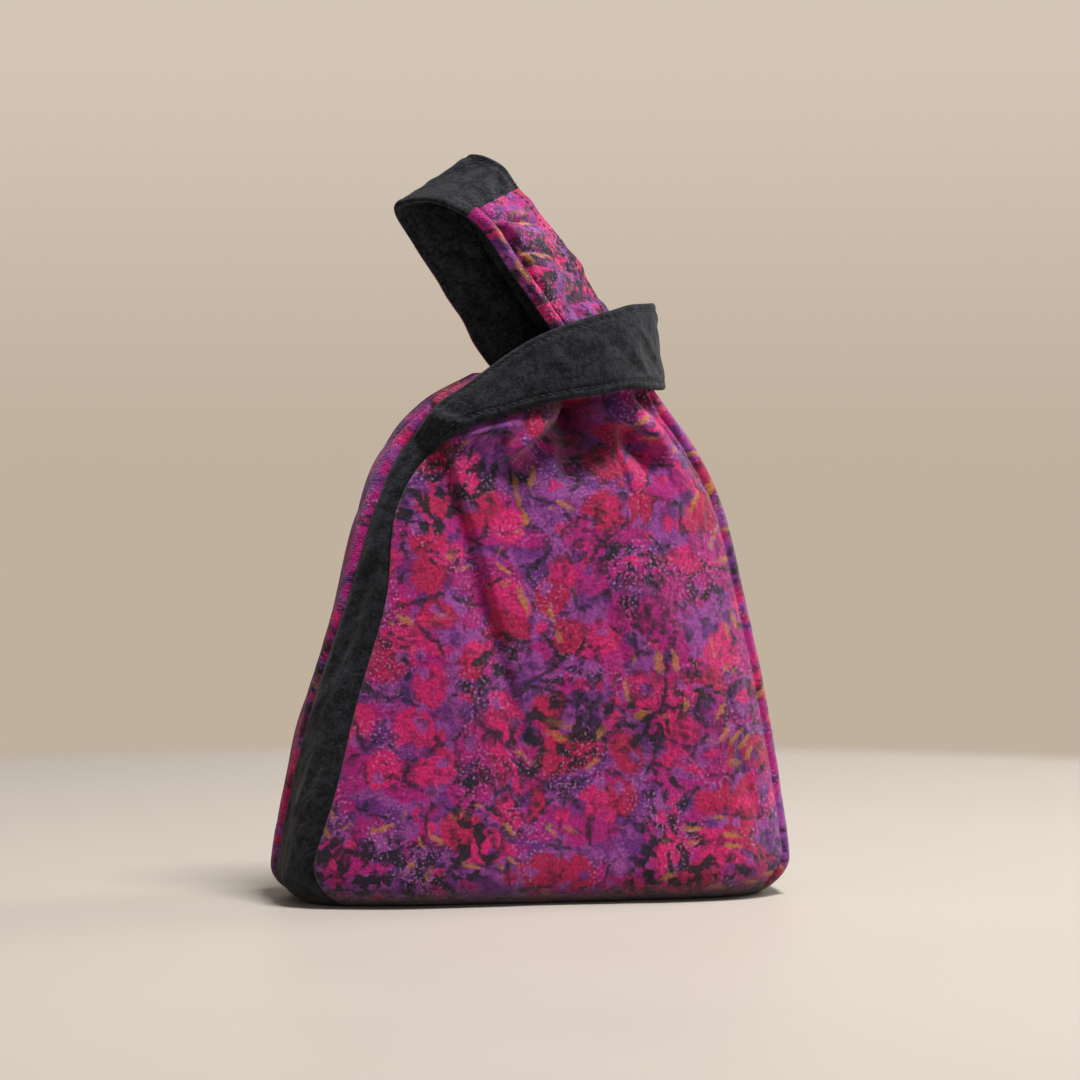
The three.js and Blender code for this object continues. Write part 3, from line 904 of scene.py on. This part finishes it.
def creased(seed, wrinkle):
    """Plain cloth with diagonal creases."""
    plain = flat_cloth(seed)

    def detail(right, left, along):
        slant = (along + CREASE_SLANT * right) / CREASE_PITCH
        diagonal = hills(slant, (along - right) / CREASE_LENGTH, seed + 2)
        inside = smoothstep(np.minimum(right, left), *CREASE_EDGE)
        return plain(right, left, along) + wrinkle * diagonal * inside

    return detail


print("hems are stitched", HEM, "mm from the edge")

# %% Inside of the loop
LOOP_WRINKLE = 1.4
LOOP_CREASE = 0.42
LOOP_LIFT = 4.5
LIFT_EDGE = (0, 8)
LOOP_CREASE_WIDTH = 0.05
LOOP_LIFT_REACH = 0.3
CREASE_WAVER = 0.05
CREASE_WAVER_LENGTH = 40


def loop_inside(seed):
    """Cloth lifts on both sides of a long crease where the strap is folded."""
    plain = creased(seed, LOOP_WRINKLE)

    def detail(right, left, along):
        share = right / (right + left)
        waver = CREASE_WAVER * hills(along / CREASE_WAVER_LENGTH, 0.5, seed + 5)
        aside = share - LOOP_CREASE - waver
        lift = LOOP_LIFT * (1 - np.exp(-np.abs(aside) / LOOP_CREASE_WIDTH))
        lift = lift * np.exp(-np.abs(aside) / LOOP_LIFT_REACH)
        return plain(right, left, along) + lift * smoothstep(np.minimum(right, left), *LIFT_EDGE)

    return detail


print("the loop's crease runs", LOOP_CREASE, "of the way across")

# %% Wrapped band
BAND_WRINKLE = 0.7
BUNCH = 1.8
BUNCH_EDGE = (0, 6)
BUNCH_AT = 18
BUNCH_REACH = 26
BUNCH_SLANT = 0.6
BUNCH_PITCH = 6
BUNCH_WIDTH = 16
KNUCKLE_AT = 45
KNUCKLE_SLANT = 0.35
KNUCKLE_RISE = 2.2
KNUCKLE_BACK = 5
KNUCKLE_SPREAD = 30
KNUCKLE_DIP = 1.4
KNUCKLE_GROOVE = 5
FULL_HEM = 0.5
FULL_HEM_REACH = 4
SEWN_START = (4, 30)
SEWN_END = (0, 10)


def tugged(seed):
    """A knuckle and bunching where the band leaves the side strip, a fuller lower hem, and ends that thin out
    where they are sewn down."""
    plain = creased(seed, BAND_WRINKLE)

    def detail(right, left, along):
        edge = smoothstep(np.minimum(right, left), *BUNCH_EDGE)
        bunch = BUNCH * np.exp(-abs(along - BUNCH_AT) / BUNCH_REACH)
        slant = (along + BUNCH_SLANT * right) / BUNCH_PITCH
        bunch = bunch * hills(slant, right / BUNCH_WIDTH, seed + 3)
        knuckle = along - KNUCKLE_AT + KNUCKLE_SLANT * right
        rise = KNUCKLE_RISE * np.exp(-((knuckle + KNUCKLE_BACK) ** 2) / KNUCKLE_SPREAD)
        crease = rise - KNUCKLE_DIP * np.exp(-(knuckle**2) / KNUCKLE_GROOVE)
        hem = FULL_HEM * np.exp(-right / FULL_HEM_REACH)
        full = plain(right, left, along) + edge * (bunch + crease) + hem
        sewn = smoothstep(along, *SEWN_START) * smoothstep(along.max() - along, *SEWN_END)
        return full * sewn - OUTER_CLOTH * (1 - sewn)

    return detail


print("the band's knuckle is", KNUCKLE_AT, "mm along")

# %% [markdown]
# ## The two handles
# The short handle is one dark band with its lining. The long handle's outside is in three pieces, print, dark
# cap and print, over one dark lining. Materials alone could mark the three, but each join is a sewn seam, so
# each is cut as its own cloth, and its stitches run along its edges.

# %% Short handle
BAND_END = len(SHORT_HANDLE) - 1
band, band_sewn = strap("short_handle_cloth", SHORT_HANDLE, 0, BAND_END, 1, tugged(71))
band_lining, _ = strap("short_handle_inner_cloth", SHORT_HANDLE, 0, BAND_END, -1, flat_cloth(75))

# %% Long handle
CAP_WRINKLE = 2.3
LOOP_END = len(LONG_HANDLE) - 1
limb, limb_sewn = strap("long_handle_front_cloth", LONG_HANDLE, 0, CAP_FIRST_ROW, 1, puffed, 1)
cap, cap_sewn = strap(
    "long_handle_cap_cloth", LONG_HANDLE, CAP_FIRST_ROW, CAP_LAST_ROW, 1, creased(81, CAP_WRINKLE), 0.7
)
rear, rear_sewn = strap("long_handle_back_cloth", LONG_HANDLE, CAP_LAST_ROW, LOOP_END, 1, puffed, 1)
loop_lining, _ = strap("long_handle_inner_cloth", LONG_HANDLE, 0, LOOP_END, -1, loop_inside(91), 1)

# %% Stitches of the handles
BAND_TRIM = 3
BAND_END_COLUMN = -10
CAP_TRIM = 2
CAP_END_COLUMNS = (4, -5)


def edge_lines(sewn, inset):
    """Lines on a strap's surface that run along its two edges."""
    points, normal, right, left = (np.swapaxes(part, 0, 1) for part in sewn)
    return [trace(points, normal, distance, inset) for distance in (right, left)]


def end_line(sewn, trim, column):
    """A line straight across a strap, short of its edges."""
    points, normal, *_ = sewn
    return points[trim:-trim, column], normal[trim:-trim, column]


band_end = end_line(band_sewn, BAND_TRIM, BAND_END_COLUMN)
band_seams = stitches("short_handle_stitches", edge_lines(band_sewn, HEM) + [band_end])
print_edges = edge_lines(limb_sewn, STRAP_ROLL) + edge_lines(rear_sewn, STRAP_ROLL)
print_seams = stitches("long_handle_stitches", print_edges)
cap_ends = [end_line(cap_sewn, CAP_TRIM, column) for column in CAP_END_COLUMNS]
cap_seams = stitches("cap_stitches", edge_lines(cap_sewn, HEM) + cap_ends)

# %% [markdown]
# ## A little language for shaders
# The cloth's looks are formulas, and wiring them up node by node would hide that. A Wire is one output of a
# shader node: sums and products of Wires make the Math nodes, colours are blended with Mix nodes, and any
# other node comes from one method.

# %% Shader wires


class Wire:
    def __init__(self, tree, socket):
        self.tree, self.socket = tree, socket

    def node(self, kind, settings=(), sockets=(), out=0):
        made = self.tree.nodes.new(kind)
        for key, value in dict(settings).items():
            setattr(made, key, value)
        for key, value in dict(sockets).items():
            plug(self.tree, made.inputs[key], value)
        return Wire(self.tree, made.outputs[out])

    def math(self, how, *values):
        return self.node("ShaderNodeMath", {"operation": how}, dict(enumerate(values)))

    def vector(self, how, *values):
        return self.node("ShaderNodeVectorMath", {"operation": how}, dict(enumerate(values)))

    def blend(self, low, high):
        """Colours low to high as this wire goes from 0 to 1."""
        settings = {"data_type": "RGBA", "blend_type": "MIX", "clamp_factor": True}
        return self.node("ShaderNodeMix", settings, {0: self, 6: low, 7: high}, 2)

    def step(self, low, high):
        """0 below low, 1 above high, and smooth between them."""
        settings = {"interpolation_type": "SMOOTHSTEP"}
        sockets = {"Value": self, "From Min": low, "From Max": high}
        return self.node("ShaderNodeMapRange", settings, sockets)

    def __add__(self, other):
        return self.math("ADD", self, other)

    def __sub__(self, other):
        return self.math("SUBTRACT", self, other)

    def __rsub__(self, other):
        return self.math("SUBTRACT", other, self)

    def __mul__(self, other):
        return self.math("MULTIPLY", self, other)

    __radd__ = __add__
    __rmul__ = __mul__


def plug(tree, socket, value):
    if isinstance(value, Wire):
        tree.links.new(value.socket, socket)
    else:
        socket.default_value = value


print("wires can", [name for name in vars(Wire) if not name.startswith("_")])

# %% Patterns


def noise(at, size, detail=2.0, out=0):
    """Noise with features about size millimetres across, from 0 to 1."""
    sockets = {"Vector": at, "Scale": 1 / size, "Detail": detail}
    return at.node("ShaderNodeTexNoise", {"noise_dimensions": "2D"}, sockets, out)


def cells(at, size, out=0, feature="F1"):
    """Random cells about size millimetres across: distance, or each cell's own colour."""
    settings = {"voronoi_dimensions": "2D", "feature": feature}
    return at.node("ShaderNodeTexVoronoi", settings, {"Vector": at, "Scale": 1 / size}, out)


def split(wire):
    return [wire.node("ShaderNodeSeparateXYZ", (), {"Vector": wire}, k) for k in range(3)]


def scaled(wire, *share):
    return wire.vector("MULTIPLY", wire, share)


def drifted(uv, size, reach):
    """Coordinates pushed about by noise, so that cells get ragged edges."""
    push = noise(uv, size, 2, 1)
    push = push.vector("SUBTRACT", push, (0.5, 0.5, 0.5))
    return uv.vector("MULTIPLY_ADD", push, (reach, reach, 0), uv)


def weave(uv, pitch):
    """Over and under threads, from -1 to 1."""
    over, under = (part * (2 * math.pi / pitch) for part in split(uv)[:2])
    return over.math("SINE", over) * under.math("SINE", under)


print("patterns are measured in millimetres of cloth")

# %% Materials
BUMP_STRENGTH = 0.8
BUMP_DISTANCE = 0.001


def start_material(name, **constants):
    made = bpy.data.materials.new(name)
    made.use_nodes = True
    tree = made.node_tree
    shader = tree.nodes["Principled BSDF"]
    for key, value in constants.items():
        shader.inputs[key.replace("_", " ")].default_value = value
    tree.nodes.new("ShaderNodeUVMap").uv_map = "cloth"
    return made, shader, Wire(tree, tree.nodes["UV Map"].outputs[0])


def finish_shader(made, shader, colour, roughness, height, strength=BUMP_STRENGTH, distance=BUMP_DISTANCE):
    tree = made.node_tree
    plug(tree, shader.inputs["Base Color"], colour)
    plug(tree, shader.inputs["Roughness"], roughness)
    sockets = {"Strength": strength, "Distance": distance, "Height": height}
    plug(tree, shader.inputs["Normal"], height.node("ShaderNodeBump", (), sockets))
    print("made", made.name, "with", len(tree.nodes), "nodes")
    return made


print("bumps are up to", BUMP_DISTANCE / MM, "mm high")

# %% [markdown]
# ## Printed cloth
# The bag is sewn from woven cotton with a busy painterly print. This one is generic: loose petals in magenta,
# crimson and violet, broken dark outlines, thickets of dark blots and seeds, a few gold strokes and lilac
# glints. A picture could be wrapped round it, but layers of cells and noise, each at its own size, never
# repeat and stay sharp close up. The weave, its grain and the wear lie over the print, and a painted shade
# darkens it along the lower edge, where the bag turns under to the floor.

# %% Colours of the print
MAGENTA = (0.44, 0.010, 0.19, 1)
HOT_PINK = (0.68, 0.014, 0.15, 1)
CRIMSON = (0.50, 0.009, 0.07, 1)
VIOLET = (0.16, 0.024, 0.21, 1)
ORCHID = (0.34, 0.06, 0.32, 1)
LILAC = (0.55, 0.24, 0.50, 1)
PLUM = (0.055, 0.006, 0.045, 1)
NIGHT = (0.010, 0.008, 0.018, 1)
GOLD = (0.50, 0.19, 0.05, 1)
print("the print has nine colours, from", NIGHT[:3], "to", LILAC[:3])

# %% Petals and buds
PETAL = 14
PETAL_EDGE = (0.42, 0.56)
PETAL_CHOICE = (1.26, 1.32)
BUD = 5.4
BUD_EDGE = (0.34, 0.52)
BUD_CHOICE = (0.66, 0.69)


def ground(ragged):
    """Clouds of violet, orchid and magenta."""
    colour = noise(ragged, 9, 2).step(0.40, 0.60).blend(VIOLET, ORCHID)
    return noise(ragged, 15, 2).step(0.48, 0.58).blend(colour, MAGENTA)


def petals(colour, ragged, zone):
    leaf = split(cells(ragged, PETAL, 1))
    away = cells(ragged, PETAL)
    petal = (1 - away.step(*PETAL_EDGE)) * (leaf[0] + zone * 2).step(*PETAL_CHOICE)
    shade = leaf[1].step(0.40, 0.42).blend(HOT_PINK, CRIMSON)
    shade = leaf[1].step(0.72, 0.74).blend(shade, MAGENTA)
    return (petal * 0.92).blend(colour, shade)


def buds(colour, ragged):
    leaf = split(cells(ragged, BUD, 1))
    bud = (1 - cells(ragged, BUD).step(*BUD_EDGE)) * leaf[0].step(*BUD_CHOICE)
    shade = leaf[1].step(0.42, 0.44).blend(ORCHID, HOT_PINK)
    shade = leaf[1].step(0.78, 0.80).blend(shade, VIOLET)
    return (bud * 0.85).blend(colour, shade)


print("petals are about", PETAL, "and buds", BUD, "across")

# %% Dark marks, gold and glints
VEIN_EDGE = (0.01, 0.10)
THICKET = 44
BLOT = 4.6
SEED = 3.1
STRAW = 4.5
STRAW_SHARE = 0.28
FULL_TURN = 6.28


def dark_marks(colour, art, loose, ragged):
    """Plum mottling, broken outlines round the petals, thickets of blots, and clusters of seeds."""
    colour = (noise(ragged, 3.4, 3).step(0.48, 0.74) * 0.65).blend(colour, PLUM)
    veins = 1 - cells(ragged, PETAL, 0, "DISTANCE_TO_EDGE").step(*VEIN_EDGE)
    colour = (veins * noise(art, 7, 2).step(0.46, 0.58) * 0.85).blend(colour, NIGHT)
    thicket = noise(drifted(art, 30, 24), THICKET, 2).step(0.48, 0.62)
    blots = noise(ragged, BLOT, 2).step(0.47, 0.58)
    colour = (thicket * blots * 0.95).blend(colour, NIGHT)
    seeds = 1 - cells(ragged, SEED).step(0.22, 0.46)
    return (seeds * noise(loose, 24).step(0.52, 0.66) * 0.75).blend(colour, NIGHT)


def gold_strokes(colour, art, loose, ragged):
    """Short strokes that lie the same way within a patch."""
    turn = {"Vector": ragged, "Angle": split(cells(loose, 34, 1))[0] * FULL_TURN}
    turned = ragged.node("ShaderNodeVectorRotate", {"rotation_type": "Z_AXIS"}, turn)
    straw = scaled(turned, 1, STRAW_SHARE, 1)
    gold = (1 - cells(straw, STRAW).step(0.10, 0.34)) * split(cells(straw, STRAW, 1))[0].step(0.60, 0.66)
    return (gold * noise(art, 36).step(0.47, 0.57) * 0.85).blend(colour, GOLD)


def glints(colour, uv, loose):
    glint = noise(uv, 1.5, 1).step(0.58, 0.74) * noise(loose, 17, 2).step(0.46, 0.62)
    return (glint * 0.65).blend(colour, LILAC)


print("gold strokes are about", STRAW, "wide and", round(STRAW / STRAW_SHARE), "long")

# %% Printed cloth
PRINT_SCALE = 0.68
PRINT_WEAVE = 1.1
SHADED_HEM = (0.002, 0.014)
HEM_SHADE = 0.85


def printed_cloth():
    made, shader, uv = start_material(
        "printed_cloth", Sheen_Weight=0.25, Sheen_Roughness=0.45, Specular_IOR_Level=0.2
    )
    art = scaled(uv, PRINT_SCALE, PRINT_SCALE, 1)
    loose = drifted(art, 40, 14)
    ragged = drifted(loose, 2.4, 2.6)
    colour = petals(ground(ragged), ragged, noise(loose, 62, 1))
    colour = dark_marks(buds(colour, ragged), art, loose, ragged)
    colour = glints(gold_strokes(colour, art, loose, ragged), uv, loose)
    threads = weave(uv, PRINT_WEAVE)
    grain = noise(uv, 1.2, 2)
    wear_and_shade = noise(uv, 60, 3) * 0.4 + grain * 1.5 + threads * 0.12 + 0.1
    # Painted shade: the print darkens from 14 mm above the floor down to 2 mm, where it keeps 0.15 of its
    # colour, as the lower edge turns under.
    low = split(uv.node("ShaderNodeTexCoord", (), (), "Object"))[2].step(*SHADED_HEM)
    wear_and_shade = wear_and_shade * (low * HEM_SHADE + (1 - HEM_SHADE))
    colour = wear_and_shade.vector("MULTIPLY", colour, wear_and_shade)
    height = threads * 0.3 + grain * 1.2 + noise(uv, 2.6, 2) * 1.4 + noise(uv, 6, 2) * 1.5
    return finish_shader(made, shader, colour, 0.74 + noise(uv, 18) * 0.2, height)


PRINT = printed_cloth()

# %% [markdown]
# ## Dark cloth and lining
# The side strips, the band and the loop's cap are brushed charcoal cotton, and the lining is a finer dark
# weave. A flat near-black would look like plastic: real charcoal is heathered, so greys of threads that lie
# side by side are mixed with a fine mottle and soft clouds, with a few pale fibres on top.

# %% Dark cloth
ALONG = (0.45, 1.1, 1)
ACROSS = (1.1, 0.45, 1)
FIBRE = (1.0, 0.4, 1)
FIBRE_LIGHT = 2.6
DARK_WEAVE = 1.2
LINING_WEAVE = 0.9


def dark_cloth(name, low, high, pitch, fibre):
    made, shader, uv = start_material(
        name, Sheen_Weight=0.1, Sheen_Roughness=0.5, Specular_IOR_Level=0.12
    )
    brushed = drifted(uv, 5, 5)
    heather = noise(scaled(brushed, *ALONG), 1.2, 3) * 0.5 + noise(scaled(brushed, *ACROSS), 1.2, 3) * 0.5
    mottle = noise(uv, 1.9, 4)
    cloud = noise(brushed, 6, 3)
    colour = (heather * 0.3 + mottle * 0.3 + cloud * 0.4).step(0.41, 0.59).blend(low, high)
    fibres = noise(scaled(uv, *FIBRE), 1.1, 2).step(0.58, 0.72)
    colour = (fibres * fibre).blend(colour, tuple(c * FIBRE_LIGHT for c in high[:3]) + (1,))
    patches = noise(uv, 30, 3) + 0.5
    colour = patches.vector("MULTIPLY", colour, patches)
    height = heather * 0.5 + weave(uv, pitch) * 0.1 + mottle * 0.45 + cloud * 1.2
    height = height + noise(uv, 13, 2) * 0.8
    return finish_shader(made, shader, colour, 0.72 + noise(uv, 12) * 0.2, height)


DARK = dark_cloth(
    "dark_cloth", (0.0026, 0.0030, 0.0042, 1), (0.0180, 0.0195, 0.0265, 1), DARK_WEAVE, 0.3
)
# Painted light: a lighter copy of the dark cloth for the inside of the long handle, which lies in the shadow
# of its cap and front limb.
LOOP_DARK_PAINTED_LIGHT = dark_cloth(
    "dark_cloth_inside_painted_light", (0.008, 0.0088, 0.011, 1), (0.032, 0.034, 0.042, 1), DARK_WEAVE, 0.3
)
LINING = dark_cloth(
    "lining_cloth", (0.005, 0.0055, 0.0065, 1), (0.017, 0.018, 0.021, 1), LINING_WEAVE, 0.2
)

# %% [markdown]
# ## Thread
# Sewing thread is two strands twisted together. At this size a plain colour would nearly do, but light and
# dark bands across each stitch keep a close view from looking like a row of pills.

# %% Thread
TWISTS = 9
THREAD_BUMP = (0.4, 0.0002)


def thread(name, low, high):
    made, shader, uv = start_material(name, Sheen_Weight=0.1, Specular_IOR_Level=0.3)
    x, y, _ = split(uv)
    turn = (x + y) * TWISTS
    twist = turn.math("SINE", turn) * 0.5 + 0.5
    return finish_shader(made, shader, twist.blend(low, high), 0.6 + twist * 0.15, twist, *THREAD_BUMP)


DARK_THREAD = thread("dark_thread", (0.006, 0.006, 0.008, 1), (0.016, 0.016, 0.020, 1))
PRINT_THREAD = thread("print_thread", (0.05, 0.006, 0.03, 1), (0.13, 0.010, 0.06, 1))

# %% [markdown]
# ## Riding the frame
# Each piece stands for the solid it replaces, which is hidden, takes its material and rides on the bag's one
# body. A table keeps those facts side by side with the piece's slot and the size it was cut to, so that none
# is forgotten for a piece.

# %% Pieces
PIECES = [
    # piece, CAD node, material, slot, stitches, cut size (width, length) in mm, share of it used, held
    (front, "front_panel", PRINT, "printed_cloth", [panel_seams], (236, 270), 0.86, "gathered"),
    (back, "back_panel", PRINT, "printed_cloth", [], (290, 270), 0.86, "gathered"),
    (left_side, "left_gusset", DARK, "dark_cloth", [], (60, 275), 0.6, "gathered"),
    (right_side, "right_gusset", DARK, "dark_cloth", [], (60, 275), 0.6, "gathered"),
    (base, "base_panel", PRINT, "printed_cloth", [], (224, 74), 0.97, "stretched"),
    (lining, "lining", LINING, "lining_cloth", [], (650, 300), 0.9, "gathered"),
    (band, "short_handle", DARK, "dark_cloth", [band_seams], (40, 260), 0.9, "folded"),
    (band_lining, "short_handle_lining", DARK, "dark_cloth", [], (40, 260), 0.9, "folded"),
    (limb, "long_handle_front", PRINT, "printed_cloth", [print_seams], (42, 118), 0.95, "folded"),
    (cap, "long_handle_cap", DARK, "dark_cloth", [cap_seams], (46, 78), 0.9, "folded"),
    (rear, "long_handle_back", PRINT, "printed_cloth", [], (52, 100), 0.95, "folded"),
    (loop_lining, "long_handle_lining", LOOP_DARK_PAINTED_LIGHT, "dark_cloth", [], (46, 290), 0.95, "folded"),
]
THREADS = {
    panel_seams: PRINT_THREAD,
    print_seams: PRINT_THREAD,
    band_seams: DARK_THREAD,
    cap_seams: DARK_THREAD,
}
for piece, node, look, slot, sewing, (wide, long), used, held in PIECES:
    piece.data.materials.append(look)
    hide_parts(node)
    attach(piece, "root")
    for row in sewing:
        row.data.materials.append(THREADS[row])
        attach(row, "root")
    flat = (wide * MM, long * MM)
    used * flat[0] * flat[1]
print(len(PIECES), "sheets of cloth and", len(THREADS), "rows of stitches")

# %% [markdown]
# ## Floor
# The bag stands on a pale studio floor. A large plane would show its far edge, so this is a round floor whose
# rim fades out into the backdrop and looks the same from every side. It is stage, not part of the bag.

# %% Floor
FLOOR_REACH = 0.84
FLOOR_FADE = (0.93, 1.07)
FLOOR_SPARE = 1.25
FLOOR_COLOUR = (0.535, 0.478, 0.425, 1)
FLOOR_SHADE = 0.96
FLOOR_RINGS = 40
FLOOR_SPOKES = 96


def stage_floor():
    spread = np.linspace(0, 1, FLOOR_RINGS)[1:, None] * FLOOR_REACH * FLOOR_SPARE / MM
    turn = 2 * np.pi * np.arange(FLOOR_SPOKES) / FLOOR_SPOKES
    rim = np.stack([spread * np.cos(turn), spread * np.sin(turn), 0 * spread * turn], -1)
    points = np.concatenate([rim.reshape(-1, 3), np.zeros((1, 3))])
    at = np.arange(rim.shape[0] * FLOOR_SPOKES).reshape(-1, FLOOR_SPOKES)
    after = np.roll(at, -1, 1)
    quads = np.stack([at[:-1], at[1:], after[1:], after[:-1]], -1).reshape(-1, 4).tolist()
    fan = np.stack([np.full(FLOOR_SPOKES, len(points) - 1), at[0], after[0]], -1).tolist()
    made = make_mesh("floor", points, quads + fan, points[:, :2])
    look, shader, uv = start_material("floor", Specular_IOR_Level=0.2)
    x, y, _ = split(uv)
    square = x * x + y * y
    far = square.math("SQRT", square)
    cloudy = noise(uv, 160, 3)
    shaded = tuple(c * FLOOR_SHADE for c in FLOOR_COLOUR)
    fade = far.step(*(FLOOR_REACH / MM * share for share in FLOOR_FADE))
    plug(look.node_tree, shader.inputs["Alpha"], 1 - fade)
    plug(look.node_tree, shader.inputs["Base Color"], cloudy.blend(shaded, FLOOR_COLOUR))
    plug(look.node_tree, shader.inputs["Roughness"], 0.45 + cloudy * 0.1)
    made.data.materials.append(look)
    made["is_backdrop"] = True
    print("floor", FLOOR_REACH * 2, "m across")


stage_floor()

# %% [markdown]
# ## Backdrop and light
# Behind the bag is a beige wall, a little lighter higher up. It could be a curved sheet, but as the world's
# colour it is there from every side. What the camera and reflections see is the wall, and what lights the bag
# is a weak plain sky. A soft key lamp stands high at the right front, a faint fill lamp lower in front, and a
# rim lamp at the right brightens that edge.

# %% Backdrop
SKY_STRENGTH = 0.12
SKY_COLOUR = (1, 0.98, 0.95, 1)
WALL_LOW = (0.527, 0.438, 0.347, 1)
WALL_HIGH = (0.655, 0.563, 0.474, 1)
WALL_GRADE = (-0.01, 0.13)


def stage_sky():
    world = bpy.data.worlds.new("studio")
    world.use_nodes = True
    bpy.context.scene.world = world
    tree = world.node_tree
    path = tree.nodes.new("ShaderNodeLightPath")
    sight = ("Is Camera Ray", "Is Glossy Ray", "Is Transmission Ray")
    seen = sum(Wire(tree, path.outputs[name]) for name in sight).step(0, 1)
    up = split(seen.node("ShaderNodeTexCoord", (), (), "Generated"))[2]
    wall = up.step(*WALL_GRADE).blend(WALL_LOW, WALL_HIGH)
    shader = tree.nodes["Background"]
    plug(tree, shader.inputs["Color"], seen.blend(SKY_COLOUR, wall))
    plug(tree, shader.inputs["Strength"], seen * (1 - SKY_STRENGTH) + SKY_STRENGTH)
    print("sky of strength", SKY_STRENGTH)


stage_sky()

# %% Lamps
LAMP_TARGET = Vector((0, 0, 0.18))
LAMPS = [
    # name, place, size in metres, power in watts
    ("key", (0.38, -0.4, 1.93), 0.5, 48),
    ("fill", (0.4, -1.9, 0.8), 1.0, 3),
    ("rim", (1.5, 0.3, 0.9), 0.6, 11),
]
for name, place, size, power in LAMPS:
    lamp = bpy.data.lights.new(name, "AREA")
    lamp.shape, lamp.size, lamp.energy = "DISK", size, power
    made = bpy.data.objects.new(name, lamp)
    made.location = place
    made.rotation_euler = (LAMP_TARGET - Vector(place)).to_track_quat("-Z", "Y").to_euler()
    bpy.context.scene.collection.objects.link(made)
print(len(LAMPS), "lamps")

# %% [markdown]
# ## Camera
# The photograph shows the bag from the front, a little from its left and from just above. The camera could be
# set by eye, but its angles, distance and lens were fitted to the bag's outline, so it is placed by those
# numbers and the render can be laid over the photograph.

# %% Camera
VIEW_YAW = math.radians(11)
VIEW_RISE = math.radians(1.5)
VIEW_DISTANCE = 1.7
VIEW_TARGET = Vector((0.005, 0, 0.1768))
VIEW_LENS = 113.33
VIEW_SENSOR = 36
level = math.cos(VIEW_RISE)
backwards = Vector((-math.sin(VIEW_YAW) * level, -math.cos(VIEW_YAW) * level, math.sin(VIEW_RISE)))
eye = bpy.data.cameras.new("camera")
eye.lens, eye.sensor_width = VIEW_LENS, VIEW_SENSOR
camera = bpy.data.objects.new("camera", eye)
camera.location = VIEW_TARGET + backwards * VIEW_DISTANCE
camera.rotation_euler = (-backwards).to_track_quat("-Z", "Y").to_euler()
bpy.context.scene.collection.objects.link(camera)
bpy.context.scene.camera = camera
bpy.context.scene.view_settings.view_transform = "Standard"
print("camera at", [round(c, 3) for c in camera.location])

# %% Finish
VISUAL_BOX = [list(corner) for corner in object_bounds()]
print("visual box in metres:", VISUAL_BOX)
